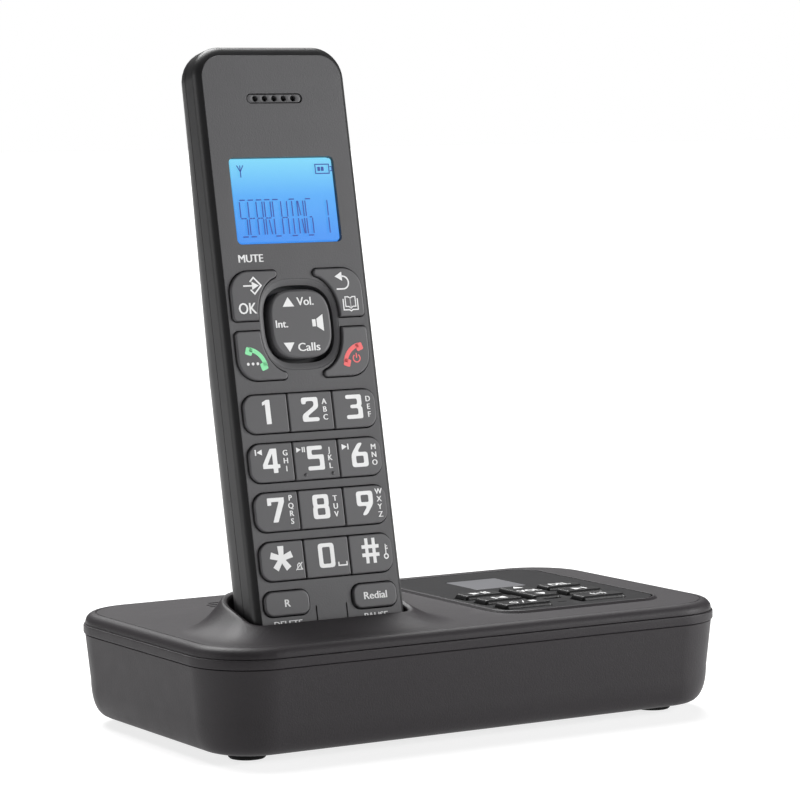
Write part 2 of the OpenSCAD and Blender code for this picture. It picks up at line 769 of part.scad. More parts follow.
module wide_key(side) {
    x = recall_x(side);
    color(key_black) in_hand() {
        key_body(corner_pts(x[0], x[1], recall_y0, recall_y1, [2.5, 2.5, 2.5, 2.5]));
        translate([x[0] + 2.5, recall_y0 - key_flange, key_foot])
            cube([x[1] - x[0] - 5, recall_y1 - recall_y0 + 2 * key_flange,
                key_flange_top - key_foot]);
    }
}

module key_recall() { wide_key(-1); }
module key_redial() { wide_key(1); }

// The pad rocks four ways on a post: up and down with the post, left and right about it
module key_navigation() {
    color(key_black) in_hand() translate([0, nav_y, 0]) difference() {
        union() {
            translate([0, 0, nav_foot]) linear_extrude(nav_proud - nav_foot)
                polygon(squircle(nav_half, nav_half, 3, 0, 350, 35));
            translate([0, 0, nav_foot]) linear_extrude(0.5)
                polygon(squircle(10.9, 10.9, 3, 0, 350, 35));
        }
        post(0, 0, 1.75, nav_foot - 1, -1);
    }
}

module navigation_pivot() {
    color(rubber_grey) in_hand() post(0, nav_y, 1.5, hand_mat_top + 0.1, -1.2);
}

// --- assembly -------------------------------------------------------------------------------

base_bottom_shell();
base_trim_band();
base_top_cover();
base_feet();
base_screws();
base_control_panel();
base_display_window();
base_display_module();
base_key_mat();
base_circuit_board();
base_loudspeaker();
base_microphone();
base_antenna();
base_power_jack();
base_line_jack();
base_charge_contact_left();
base_charge_contact_right();
base_key_play();
base_key_previous();
base_key_power_stop();
base_key_delete();
base_key_next();
base_key_page();
base_volume_rocker();
handset_front_cover();
handset_rear_cover();
handset_battery_door();
handset_screws();
handset_display_lens();
handset_display_module();
handset_key_mat();
handset_circuit_board();
handset_antenna();
handset_earpiece();
handset_loudspeaker();
handset_microphone();
handset_batteries();
handset_battery_contacts();
handset_charge_plates();
key_ok();
key_phonebook();
key_talk();
key_end();
navigation_pivot();
key_navigation();
key_1();
key_2();
key_3();
key_4();
key_5();
key_6();
key_7();
key_8();
key_9();
key_star();
key_0();
key_hash();
key_recall();
key_redial();
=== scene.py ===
"""Looks of a cordless telephone: a handset that leans back in the cradle of an answering base."""
import json
import math

import bmesh
import bpy
from mathutils import Matrix, Vector


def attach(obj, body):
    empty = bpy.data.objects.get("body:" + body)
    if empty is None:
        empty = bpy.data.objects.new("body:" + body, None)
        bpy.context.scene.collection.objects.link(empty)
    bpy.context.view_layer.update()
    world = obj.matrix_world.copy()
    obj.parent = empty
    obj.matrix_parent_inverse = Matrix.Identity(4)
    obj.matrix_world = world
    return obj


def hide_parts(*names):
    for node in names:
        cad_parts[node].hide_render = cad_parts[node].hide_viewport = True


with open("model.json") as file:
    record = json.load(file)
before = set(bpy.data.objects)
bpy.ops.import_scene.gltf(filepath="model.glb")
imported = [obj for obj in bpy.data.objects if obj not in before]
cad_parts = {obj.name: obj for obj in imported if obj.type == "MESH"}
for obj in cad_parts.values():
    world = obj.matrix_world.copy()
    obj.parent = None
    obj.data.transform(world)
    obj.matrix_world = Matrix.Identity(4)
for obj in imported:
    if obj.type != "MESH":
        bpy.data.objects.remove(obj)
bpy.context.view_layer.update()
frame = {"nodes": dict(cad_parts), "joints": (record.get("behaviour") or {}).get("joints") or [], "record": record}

# --- places, all from the frame ---
# Shapes are drawn in millimetres, in one of two frames: the base's, which is the part's own,
# and the handset's, with x across, y along it from its bottom end and z out of its face.

MM = 0.001
IN_BASE = Matrix.Scale(MM, 4)


def placed(across, up, out, origin):
    """The matrix with those three axes and that origin."""
    matrix = Matrix.Identity(4)
    for column, axis in enumerate((across, up, out, origin)):
        for row in range(3):
            matrix[row][column] = axis[row]
    return matrix


def hand_matrix():
    """Takes the handset's own millimetres to the frame's metres."""
    lift = next(j for j in frame["joints"] if j["name"] == "handset_lift")
    across = Vector((1, 0, 0))
    up = Vector(lift["axis"]).normalized()
    out = across.cross(up)
    points = [v.co for v in frame["nodes"]["handset_front_cover"].data.vertices]
    seat = up * min(p.dot(up) for p in points) + out * max(p.dot(out) for p in points)
    seat.x = (min(p.x for p in points) + max(p.x for p in points)) / 2
    return placed(across * MM, up * MM, out * MM, seat)


IN_HAND = hand_matrix()
UP = IN_HAND.col[1].to_3d().normalized()
LEAN = math.atan2(UP.y, UP.z)


def home(body):
    """The matrix of the frame that a body's shapes are drawn in."""
    return IN_BASE if body.startswith("base") or body == "volume_rocker" else IN_HAND


def extent(node, matrix, top_only=False):
    """Lowest and highest corners of a node, or of its highest face, in millimetres."""
    back = matrix.inverted()
    points = [back @ v.co for v in frame["nodes"][node].data.vertices]
    if top_only:
        top = max(p.z for p in points)
        points = [p for p in points if p.z > top - 0.05]
    low = Vector([min(p[i] for p in points) for i in range(3)])
    high = Vector([max(p[i] for p in points) for i in range(3)])
    return low, high


def middle(node, matrix):
    low, high = extent(node, matrix)
    return [(a + b) / 2 for a, b in zip(low, high)]


def top_face(node, matrix=IN_HAND):
    """Left, right, lower and upper edges of a node's highest face."""
    low, high = extent(node, matrix, top_only=True)
    return low.x, high.x, low.y, high.y


# --- outlines, as lists of (x, y) that run anticlockwise ---


def arc(cx, cy, r, start, end, n=8):
    steps = [math.radians(start + (end - start) * i / n) for i in range(n + 1)]
    return [(cx + r * math.cos(t), cy + r * math.sin(t)) for t in steps]


def rounded(x0, x1, y0, y1, radii, n=8):
    """Rectangle with one corner radius, or four: top right, top left, bottom left, bottom right."""
    r = radii if isinstance(radii, tuple) else (radii,) * 4
    return (
        arc(x1 - r[0], y1 - r[0], r[0], 0, 90, n)
        + arc(x0 + r[1], y1 - r[1], r[1], 90, 180, n)
        + arc(x0 + r[2], y0 + r[2], r[2], 180, 270, n)
        + arc(x1 - r[3], y0 + r[3], r[3], 270, 360, n)
    )


def round_box(low, high, grow, radii, n=8):
    """Rounded rectangle round two corners, grown outwards."""
    return rounded(low.x - grow, high.x + grow, low.y - grow, high.y + grow, radii, n)


def squircle(a, b, power, start=0, end=360, n=64):
    """Superellipse with half sizes a and b, from one angle to another."""
    points = []
    for i in range(n + 1 if end - start < 360 else n):
        t = math.radians(start + (end - start) * i / n)
        c, s = math.cos(t), math.sin(t)
        x = math.copysign(abs(c) ** (2 / power), c)
        y = math.copysign(abs(s) ** (2 / power), s)
        points.append((a * x, b * y))
    return points


def shifted(points, dx, dy, scale=1.0):
    return [(dx + x * scale, dy + y * scale) for x, y in points]


def distinct(points):
    """Without the points that repeat their neighbour."""
    return [p for i, p in enumerate(points) if math.dist(p, points[i - 1]) > 1e-4]


def inset(points, d):
    """The outline moved inwards by d, or outwards where d is negative."""
    moved = []
    for i, (x, y) in enumerate(points):
        ax, ay = points[i - 1]
        bx, by = points[(i + 1) % len(points)]
        la, lb = math.hypot(x - ax, y - ay), math.hypot(bx - x, by - y)
        n1 = ((y - ay) / la, (ax - x) / la)
        n2 = ((by - y) / lb, (x - bx) / lb)
        k = 1 + n1[0] * n2[0] + n1[1] * n2[1]
        moved.append((x - d * (n1[0] + n2[0]) / k, y - d * (n1[1] + n2[1]) / k))
    return moved


def softened(points, r, n=3):
    """A polygon whose corners are rounded off by about r."""
    out = []
    for i, p in enumerate(points):
        before, after = Vector(points[i - 1]), Vector(points[(i + 1) % len(points)])
        here = Vector(p)
        a, b = before - here, after - here
        start = here + a.normalized() * min(r, a.length * 0.45)
        end = here + b.normalized() * min(r, b.length * 0.45)
        for k in range(n + 1):
            t = k / n
            q = start * (1 - t) ** 2 + here * (2 * t * (1 - t)) + end * t**2
            out.append((q.x, q.y))
    return out


def ribbon(points, width, closed=False):
    """A stroke of that width along a line: one outline, or two where it is closed."""
    sides = []
    count = len(points)
    for side in (1, -1):
        row = []
        for i, (x, y) in enumerate(points):
            ax, ay = points[i - 1] if closed or i else (x, y)
            bx, by = points[(i + 1) % count] if closed or i < count - 1 else (x, y)
            d1, d2 = Vector((x - ax, y - ay)), Vector((bx - x, by - y))
            d1 = d1.normalized() if d1.length else d2.normalized()
            d2 = d2.normalized() if d2.length else d1
            n1, n2 = Vector((d1.y, -d1.x)), Vector((d2.y, -d2.x))
            m = (n1 + n2) / max(1 + n1.dot(n2), 0.4)
            row.append((x + side * m.x * width / 2, y + side * m.y * width / 2))
        sides.append(row)
    return sides if closed else [sides[0] + sides[1][::-1]]


# --- solids ---


def new_object(name, data):
    piece = bpy.data.objects.new(name, data)
    bpy.context.scene.collection.objects.link(piece)
    return piece


def solid(name, verts, faces):
    """A closed mesh object with its normals outwards."""
    mesh = bpy.data.meshes.new(name)
    mesh.from_pydata([tuple(v) for v in verts], [], faces)
    bm = bmesh.new()
    bm.from_mesh(mesh)
    bmesh.ops.remove_doubles(bm, verts=bm.verts, dist=2e-4)
    bmesh.ops.recalc_face_normals(bm, faces=bm.faces)
    bm.to_mesh(mesh)
    bm.free()
    return new_object(name, mesh)


def level(points, z):
    return [(x, y, z) for x, y in points]


def loft_data(rings, closed=False):
    """Vertices and faces of a skin over rings of equal count, capped unless it closes on itself."""
    n = len(rings[0])
    verts = [p for ring in rings for p in ring]
    pairs = [(i, i + 1) for i in range(len(rings) - 1)]
    if closed:
        pairs.append((len(rings) - 1, 0))
    faces = []
    for a, b in pairs:
        for j in range(n):
            k = (j + 1) % n
            faces.append((a * n + j, a * n + k, b * n + k, b * n + j))
    if not closed:
        faces.append(tuple(range(n))[::-1])
        faces.append(tuple(range((len(rings) - 1) * n, len(rings) * n)))
    return verts, faces


def loft(name, rings, closed=False):
    return solid(name, *loft_data(rings, closed))


def sweep(name, outline_of, profile, closed=False):
    """Skin over an outline set in by each (inset, level) of a profile."""
    return loft(name, [level(outline_of(d), z) for d, z in profile], closed)


def curve_data(curve, lift):
    holder = new_object("outline", curve)
    bpy.context.view_layer.update()
    seen = holder.evaluated_get(bpy.context.evaluated_depsgraph_get())
    mesh = bpy.data.meshes.new_from_object(seen)
    verts = [(v.co.x, v.co.y, v.co.z + lift) for v in mesh.vertices]
    faces = [tuple(p.vertices) for p in mesh.polygons]
    bpy.data.objects.remove(holder)
    bpy.data.curves.remove(curve)
    bpy.data.meshes.remove(mesh)
    return verts, faces


def flat_data(outlines, z0, z1, bevel=0.0):
    """A flat plate between two levels, its edges bevelled. Outlines inside others are holes."""
    curve = bpy.data.curves.new("outline", "CURVE")
    curve.dimensions = "2D"
    curve.fill_mode = "BOTH"
    for points in outlines:
        points = distinct(points)
        spline = curve.splines.new("POLY")
        spline.points.add(len(points) - 1)
        for point, (x, y) in zip(spline.points, points):
            point.co = (x, y, 0, 1)
        spline.use_cyclic_u = True
    curve.extrude = (z1 - z0) / 2 - bevel
    curve.bevel_depth = bevel
    curve.bevel_resolution = 2
    curve.offset = -bevel
    return curve_data(curve, (z0 + z1) / 2)


def flat(name, outlines, z0, z1, bevel=0.0):
    return solid(name, *flat_data(outlines, z0, z1, bevel))


def joined(parts):
    """Vertices and faces of several parts as one."""
    verts, faces = [], []
    for more, shapes in parts:
        start = len(verts)
        verts += [tuple(v) for v in more]
        faces += [tuple(start + i for i in face) for face in shapes]
    return verts, faces


def lathe_data(profile, cx=0.0, cy=0.0, n=32):
    """A turned solid about the z axis through (cx, cy), from (radius, level) pairs, lowest first."""
    return loft_data([level(arc(cx, cy, r, 0, 360 - 360 / n, n - 1), z) for r, z in profile])


def rod_data(start, end, r, n=20):
    """A straight round rod between two points."""
    start, end = Vector(start), Vector(end)
    turn = (end - start).to_track_quat("Z", "Y")
    ring = [turn @ Vector((x, y, 0)) for x, y in arc(0, 0, r, 0, 360 - 360 / n, n - 1)]
    return loft_data([[start + p for p in ring], [end + p for p in ring]])


def rectangle(x0, x1, y0, y1):
    return [(x0, y0), (x1, y0), (x1, y1), (x0, y1)]


def box_data(x0, x1, y0, y1, z0, z1):
    outline = rectangle(x0, x1, y0, y1)
    return loft_data([level(outline, z0), level(outline, z1)])


def carve(piece, parts, operation="DIFFERENCE"):
    """Cuts the parts out of a piece, or adds them to it. The parts don't touch each other."""
    tool = solid("tool", *joined(parts))
    step = piece.modifiers.new("step", "BOOLEAN")
    step.operation = operation
    step.solver = "EXACT"
    step.object = tool
    bpy.context.view_layer.update()
    seen = piece.evaluated_get(bpy.context.evaluated_depsgraph_get())
    made = bpy.data.meshes.new_from_object(seen)
    piece.modifiers.clear()
    piece.data = made
    bpy.data.objects.remove(tool)


def dress(piece, body, slot, *stands_for, finish=None, sharp=30):
    """Puts a piece in the frame, smooths it up to that angle, and gives it its finish and body."""
    piece.data.transform(home(body))
    piece.data.shade_smooth()
    piece.data.set_sharp_from_angle(angle=math.radians(sharp))
    piece.data.materials.clear()
    piece.data.materials.append(FINISHES[finish or slot])
    flatter = piece.modifiers.new("flat_faces_stay_flat", "WEIGHTED_NORMAL")
    flatter.keep_sharp = True
    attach(piece, body)
    if stands_for:
        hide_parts(*stands_for)


# --- materials ---


def feed(owner, socket, value):
    """Links an output to the socket, or sets its value."""
    if isinstance(value, bpy.types.NodeSocket):
        owner.node_tree.links.new(value, socket)
    else:
        socket.default_value = value


def add_node(owner, kind, **inputs):
    node = owner.node_tree.nodes.new("ShaderNode" + kind)
    for key, value in inputs.items():
        feed(owner, node.inputs[key.replace("_", " ")], value)
    return node


def principled(name, colour, roughness, metallic=0.0):
    material = bpy.data.materials.new(name)
    material.use_nodes = True
    shader = material.node_tree.nodes["Principled BSDF"]
    feed(material, shader.inputs["Base Color"], (*colour, 1))
    feed(material, shader.inputs["Roughness"], roughness)
    feed(material, shader.inputs["Metallic"], metallic)
    return material, shader


def emit(material, shader, colour, strength):
    feed(material, shader.inputs["Emission Color"], colour)
    feed(material, shader.inputs["Emission Strength"], strength)


def noise(material, scale, detail=3.0, stretch=(1, 1, 1)):
    """Noise in the object's own coordinates, in cells per metre."""
    where = add_node(material, "TexCoord").outputs["Object"]
    mapping = add_node(material, "Mapping", Vector=where, Scale=stretch)
    texture = add_node(material, "TexNoise", Vector=mapping.outputs["Vector"], Scale=scale, Detail=detail)
    return texture.outputs["Fac"]


def ramp(material, value, *stops):
    """The value as a colour, from stops of (position, colour)."""
    node = add_node(material, "ValToRGB", Fac=value)
    elements = node.color_ramp.elements
    for (position, colour), element in zip((stops[0], stops[-1]), elements[:]):
        element.position, element.color = position, (*colour, 1)
    for position, colour in stops[1:-1]:
        elements.new(position).color = (*colour, 1)
    return node.outputs["Color"]


def spread(material, value, low, high):
    """The value's middle range, mapped to low and high."""
    return add_node(
        material, "MapRange", Value=value, From_Min=0.3, From_Max=0.7, To_Min=low, To_Max=high
    ).outputs["Result"]


def bump(material, shader, value, strength, depth):
    node = add_node(material, "Bump", Height=value, Strength=strength, Distance=depth)
    feed(material, shader.inputs["Normal"], node.outputs["Normal"])


def surface(name, colour, roughness, grain=0.3, depth=0.03, vary=0.02, metallic=0.0, stretch=(1, 1, 1)):
    """A moulded or drawn surface: grain in mm for its bump, and slow changes of colour and gloss."""
    material, shader = principled(name, colour, roughness, metallic)
    dark = tuple(c * (1 - vary) for c in colour)
    light = tuple(min(1.0, c * (1 + vary)) for c in colour)
    slow, rough = noise(material, 55.0, 4.0, stretch), noise(material, 170.0, 3.0, stretch)
    feed(material, shader.inputs["Base Color"], ramp(material, slow, (0.3, dark), (0.7, light)))
    feed(material, shader.inputs["Roughness"], spread(material, rough, roughness * 0.96, roughness * 1.04))
    bump(material, shader, noise(material, 1000.0 / grain, 2.0, stretch), 0.6, depth * MM)
    return material, shader


def plastic(name, grey, roughness, grain, depth, gloss, tint=(1.0, 0.985, 1.04)):
    material, shader = surface(name, tuple(grey * t for t in tint), roughness, grain, depth)
    shader.inputs["Specular IOR Level"].default_value = gloss
    return material


# Grey, roughness, grain and its depth in mm, gloss, tint
PLASTICS = {
    "base_plastic": (0.024, 0.48, 0.5, 0.09, 0.19, (1.05, 0.94, 1.03)),
    "handset_body_plastic": (0.014, 0.40, 0.25, 0.022, 0.3),
    "handset_face_plastic": (0.060, 0.52, 0.45, 0.06, 0.43),
    "panel_plastic": (0.016, 0.42, 0.3, 0.03, 0.10),
    "base_key_plastic": (0.010, 0.34, 0.2, 0.012, 0.35),
    "handset_key_plastic": (0.066, 0.48, 0.25, 0.02, 0.45),
    "socket_plastic": (0.016, 0.3, 0.2, 0.008, 0.4),
    "foot_rubber": (0.006, 0.8, 0.35, 0.04, 0.15),
}
# Colour, roughness, grain and its depth in mm, variation, metallic, stretch
SURFACES = {
    # silicone_rubber is the key mat seen through the gaps round the handset keys; its near-black colour is painted
    # shade for those gaps
    "silicone_rubber": ((0.03, 0.03, 0.033), 0.7, 0.3, 0.02),
    "circuit_board": ((0.03, 0.16, 0.07), 0.4, 0.6, 0.02, 0.25),
    "plated_steel": ((0.6, 0.6, 0.62), 0.28, 0.15, 0.006, 0.06, 1.0, (1, 6, 1)),
    "contact_metal": ((0.83, 0.62, 0.28), 0.24, 0.15, 0.005, 0.08, 1.0),
    "speaker_metal": ((0.05, 0.05, 0.05), 0.5, 0.3, 0.02, 0.1),
    "battery_sleeve": ((0.05, 0.24, 0.09), 0.3, 0.8, 0.008, 0.1),
    "smoked_window": ((0.145, 0.145, 0.155), 0.3, 0.5, 0.006, 0.04),
    "white_ink": ((0.72, 0.72, 0.72), 0.45, 0.12, 0.008, 0.03),
    "green_ink": ((0.22, 0.70, 0.34), 0.45, 0.12, 0.008, 0.03),
    "red_ink": ((0.76, 0.11, 0.11), 0.45, 0.12, 0.008, 0.04),
}


def display_segments():
    material, shader = surface("display_segments", (0.004, 0.02, 0.16), 0.5, 0.3, 0.004, 0.08)
    emit(material, shader, (0.005, 0.05, 0.36, 1), 0.4)
    return material


def clear_lens():
    material, shader = principled("clear_lens", (0.02, 0.03, 0.05), 0.04)
    shader.inputs["Alpha"].default_value = 0.1
    feed(material, shader.inputs["Roughness"], spread(material, noise(material, 400.0), 0.03, 0.05))
    return material


def backlight():
    """A lit panel, pale cyan at its top and blue at its bottom."""
    material, shader = principled("display_backlight", (0.01, 0.03, 0.09), 0.5)
    ends = [(IN_HAND @ Vector((0, p.y, 0))).dot(UP) for p in extent("handset_display_module", IN_HAND)]
    along = add_node(material, "VectorMath")
    along.operation = "DOT_PRODUCT"
    feed(material, along.inputs[0], add_node(material, "TexCoord").outputs["Object"])
    along.inputs[1].default_value = UP
    share = add_node(material, "MapRange", Value=along.outputs["Value"], From_Min=ends[0], From_Max=ends[1])
    blues = ((0.05, (0.05, 0.30, 0.94)), (0.55, (0.09, 0.44, 0.98)), (0.97, (0.24, 0.78, 1.0)))
    emit(material, shader, ramp(material, share.outputs["Result"], *blues), 1.05)
    bump(material, shader, noise(material, 900.0), 0.2, 0.004 * MM)
    return material


FINISHES = {name: plastic(name, *values) for name, values in PLASTICS.items()}
FINISHES.update({name: surface(name, *values)[0] for name, values in SURFACES.items()})
FINISHES["clear_lens"] = clear_lens()
FINISHES["display_backlight"] = backlight()
FINISHES["display_segments"] = display_segments()
for row in frame["record"]["subparts"]:
    node = frame["nodes"][row["node"]]
    node.data.materials.clear()
    node.data.materials.append(FINISHES[row["material_slot"]])

# --- handset covers ---

face_high = extent("handset_front_cover", IN_HAND)[1]
body_low, body_high = extent("handset_rear_cover", IN_HAND)
HALF_W = face_high.x
LENGTH = face_high.y
SPLIT = body_high.z                 # level where the two covers meet
DEPTH = -body_low.z                 # thickness over the lower half
FACE_INSET = 1.9
CORNER = 9.0
COVER = 2.0                         # thickness of the face plate
KEY_GAP = 0.3
PAD_CHANNEL = 1.3                   # width of the deep channel round the pad
EDGE = 0.12                         # small bevels round openings
SEAM = 0.045                        # half the seam between the covers


def hand_outline(d, n=10):
    return rounded(-HALF_W + d, HALF_W - d, d, LENGTH - 1.45 * d, CORNER - 1.37 * d, n)


nav_low, nav_high = extent("key_navigation", IN_HAND, top_only=True)
NAV_Y = (nav_low.y + nav_high.y) / 2
NAV_HALF, NAV_TOP = nav_high.x, nav_high.z
DISH = (12.4, 12.8)                 # half sizes of the shallow dish round the pad
DISH_POWER = 2.8
ROW_HALF = top_face("key_3")[1]
key_low, key_high = extent("key_1", IN_HAND)
KEY_LOW, KEY_TOP = key_low.z, key_high.z
ROW_CORNER, WIDE_KEY_CORNER = 3.4, 2.5
SIDES = [(sx, sy) for sx in (-1, 1) for sy in (-1, 1)]


def on_pad(a, b, power):
    """A superellipse round the middle of the navigation pad."""
    return shifted(squircle(a, b, power, n=80), 0, NAV_Y)


def corner_key(grow, sx, sy):
    """One of the four keys round the pad, with its hollow side towards the pad."""
    a, b, power = 13 - grow, 14.3 - grow, 2.6
    hollow_x, low, high = 7.2, 1.45, 15.25
    small, large, tip = 1.2, 6, 1.05
    start = math.degrees(math.acos((hollow_x / a) ** (power / 2)))
    end = math.degrees(math.asin(((low - grow) / b) ** (power / 2)))
    points = (
        arc(ROW_HALF - small, low + small, small + grow, 270, 360, 5)
        + arc(ROW_HALF - large, high - large, large + grow, 0, 90, 10)
        + arc(6.9, 14.2, tip + grow, 90, 260, 10)
        + squircle(a, b, power, start, end, 16)
    )
    points = [(sx * x, NAV_Y + sy * y) for x, y in points]
    return points if sx * sy > 0 else points[::-1]


def key_openings():
    holes = [corner_key(KEY_GAP, sx, sy) for sx, sy in SIDES]
    shapes = []
    for first, last in (("key_1", "key_3"), ("key_4", "key_6"), ("key_7", "key_9"), ("key_star", "key_hash")):
        x0, _, y0, y1 = top_face(first)
        shapes.append(rounded(x0, top_face(last)[1], y0, y1, ROW_CORNER))
    shapes += [rounded(*top_face(node), WIDE_KEY_CORNER) for node in ("key_recall", "key_redial")]
    return holes + [inset(distinct(shape), -KEY_GAP) for shape in shapes]


lens_low, lens_high = extent("handset_display_lens", IN_HAND)
SLOT_Y = middle("handset_earpiece", IN_HAND)[1]
SLOT_HALF = (8.85, 1.4)
SLOT_HOLE, HOLE_PITCH = 0.84, 3.02  # the earpiece's holes: radius and spacing
GROOVE_X, GROOVE_HALF = 4.8, 0.22   # two short grooves between the lowest keys
GROOVE = (5.0, 16.8)
MIC_Y = middle("handset_microphone", IN_HAND)[1]


def handset_face():
    """The flat face with its openings, the sound slot's sunk floor and the two short grooves."""
    a, b = SLOT_HALF
    screen = round_box(lens_low, lens_high, 0.05, 1.4)
    slot = rounded(-a, a, SLOT_Y - b, SLOT_Y + b, b - 0.05)
    microphone = arc(0, MIC_Y, 0.6, 0, 345, 23)
    holes = key_openings() + [screen, slot, on_pad(*DISH, DISH_POWER), microphone]
    piece = flat("handset_face", [hand_outline(FACE_INSET)] + holes, -COVER, 0, EDGE)
    grooves = []
    for x in (-GROOVE_X, GROOVE_X):
        groove = rounded(x - GROOVE_HALF, x + GROOVE_HALF, *GROOVE, 0.2, 3)
        grooves.append(flat_data([groove], -0.4, 1))
    carve(piece, grooves)
    dress(piece, "handset", "handset_face_plastic", "handset_front_cover")
    holes = [arc(i * HOLE_PITCH, SLOT_Y, SLOT_HOLE, 0, 345, 23) for i in range(-2, 3)]
    floor = flat("handset_sound_slot", [inset(distinct(slot), 0.28)] + holes, -1.7, -0.3, 0.08)
    dress(floor, "handset", "handset_face_plastic", finish="handset_key_plastic")


def handset_dish():
    """The shallow dish round the navigation pad."""
    inner, top, fall, fit = NAV_HALF + PAD_CHANNEL, -0.06, 0.42, 0.02
    a, b = DISH
    rings = []
    for t in (0.0, 0.15, 0.35, 0.6, 0.85, 1.0):
        outline = on_pad(a - fit + (inner - a) * t, b - fit + (inner - b) * t, DISH_POWER + 0.2 * t)
        rings.append(level(outline, top - fall * t**1.5))
    rings.append(level(on_pad(inner, inner, DISH_POWER + 0.2), -COVER))
    rings.append(level(on_pad(a - fit, b - fit, DISH_POWER), -COVER))
    piece = loft("handset_pad_dish", rings, closed=True)
    dress(piece, "handset", "handset_face_plastic")


def handset_rim():
    """The front cover's sides, from the crease at the edge of the face to the seam."""
    crease, drop, first, steps = 0.14, 2.9, 22, 9
    turns = [math.radians(first + (90 - first) * i / steps) for i in range(steps + 1)]
    curve = [(FACE_INSET * (1 - math.sin(t)), -drop * (1 - math.cos(t))) for t in turns]
    across, start = curve[0]
    profile = [(FACE_INSET, -crease)]
    profile += [(d * FACE_INSET / across, z - start - crease) for d, z in curve]
    profile += [(0.0, SPLIT + SEAM + 0.1), (0.08, SPLIT + SEAM), (COVER, SPLIT + SEAM)]
    profile += [(COVER, -COVER), (FACE_INSET, -COVER)]
    piece = sweep("handset_front_rim", hand_outline, profile, closed=True)
    dress(piece, "handset", "handset_body_plastic")


TAPER = 82.0                        # the back runs in to the top end from here
TOP_DEPTH = 14.5                    # thickness there
BACK_ROUND = 10.5                   # rounding along the sides of the back
END_ROUND = 8.0                     # and at both of its ends


def rear_sections(d, top, back=None):
    """Sections across the rear cover along its length, all set in by d; back limits their depth."""
    end = LENGTH - d
    near = [0, 0.15, 0.5, 1.1, 2, 3.2, 4.6, 6.2, 8, 9.5]
    stations = [d + s for s in near] + [14 + 8.5 * i for i in range(8)]
    stations += [TAPER + 9.5 * i for i in range(9)] + [end - s for s in near[::-1]]
    rings = []
    for y in stations:
        r = CORNER - d
        edge = min(y - d, end - y)
        half = HALF_W - d - (r - math.sqrt(max(0, r**2 - (r - edge) ** 2)) if edge < r else 0)
        share = max(0, (y - TAPER) / (end - END_ROUND - TAPER))
        deep = DEPTH - (DEPTH - TOP_DEPTH) * share
        side_round = BACK_ROUND - (BACK_ROUND - END_ROUND) * min(1, share)
        curve = min(END_ROUND, deep - 8.3) - d * 0.5
        fall = curve - math.sqrt(max(0, curve**2 - (curve - edge) ** 2)) if edge < curve else 0
        deep = max(deep - d - fall, -SPLIT + 0.6)
        deep = min(deep, back) if back else deep
        corner = min(side_round - d, deep + SPLIT - 0.3, half - 1)
        left = arc(-half + corner, -deep + corner, corner, 180, 270, 10)
        right = arc(half - corner, -deep + corner, corner, 270, 360, 10)
        ring = [(-half, top)] + left + right + [(half, top)]
        rings.append([(x, y, z) for x, z in ring])
    return rings


door_low, door_high = extent("handset_battery_door", IN_HAND)
cell_low, cell_high = extent("handset_batteries", IN_HAND)
RING_Y = middle("handset_loudspeaker", IN_HAND)[1]
plate_low, plate_high = extent("handset_charge_plates", IN_HAND)
PLATE_HALF = 3.0
DOOR_TRAVEL = 4.0


def screw_places():
    """Middle of each of the handset's screws."""
    back = IN_HAND.inverted()
    points = [back @ v.co for v in frame["nodes"]["handset_screws"].data.vertices]
    places = []
    for side in (-1, 1):
        for upper in (False, True):
            group = [p for p in points if p.x * side > 0 and (p.y > LENGTH / 2) == upper]
            mean = sum(group, Vector()) / len(group)
            places.append((mean.x, mean.y, min(p.z for p in group)))
    return places


def handset_rear():
    """The rear cover, with its battery bay, screw wells, ringer slots and charging recesses."""
    piece = loft("handset_rear_cover_skin", rear_sections(0, SPLIT - SEAM))
    carve(piece, [loft_data(rear_sections(1.8, SPLIT + 1, DEPTH - 3.4))])
    deep, room = -DEPTH - 2, 0.2
    below = door_low.y - DOOR_TRAVEL - room
    recess = rounded(door_low.x - room, door_high.x + room, below, door_high.y + room, 1.6)
    cuts = [flat_data([recess], deep, door_high.z + 0.05)]
    for x, y, seat in screw_places():
        cuts.append(lathe_data([(2.5, deep), (2.5, seat + 1.5)], x, y))
    for i in range(-2, 3):
        y = RING_Y + 2.8 * i
        cuts.append(flat_data([rounded(-6, 6, y - 0.6, y + 0.6, 0.55, 5)], deep, -11))
    for s in (-1, 1):
        x = s * (plate_high.x - 2.95)
        across = (x - PLATE_HALF, x + PLATE_HALF)
        cuts.append(box_data(*across, -1, plate_low.y + 0.35, plate_low.z - 0.05, SPLIT + 2))
    carve(piece, cuts)
    bay = (cell_low.x - 0.65, cell_high.x + 0.65, cell_low.y - 3.45, cell_high.y + 3.45)
    carve(piece, [flat_data([rounded(*bay, 0.5, 4)], deep, -7)])
    dress(piece, "handset", "handset_body_plastic", "handset_rear_cover", sharp=28)


def battery_door():
    """The sliding door with a ribbed thumb rest and an arrow that points the way it slides."""
    outline = round_box(door_low, door_high, 0, 1.4)
    piece = flat("battery_door_skin", [outline], door_low.z, door_high.z, 0.25)
    y, skin = door_high.y - 11, door_low.z
    cuts = []
    for i in range(5):
        groove = rounded(-5.5, 5.5, y + 1.5 * i, y + 1.5 * i + 0.7, 0.3, 4)
        cuts.append(flat_data([groove], skin - 1, skin + 0.45))
    arrow = softened([(-2.4, y - 2), (2.4, y - 2), (0, y - 5)], 0.3)
    cuts.append(flat_data([arrow[::-1]], skin - 1, skin + 0.3))
    carve(piece, cuts)
    dress(piece, "battery_door", "handset_body_plastic", "handset_battery_door")


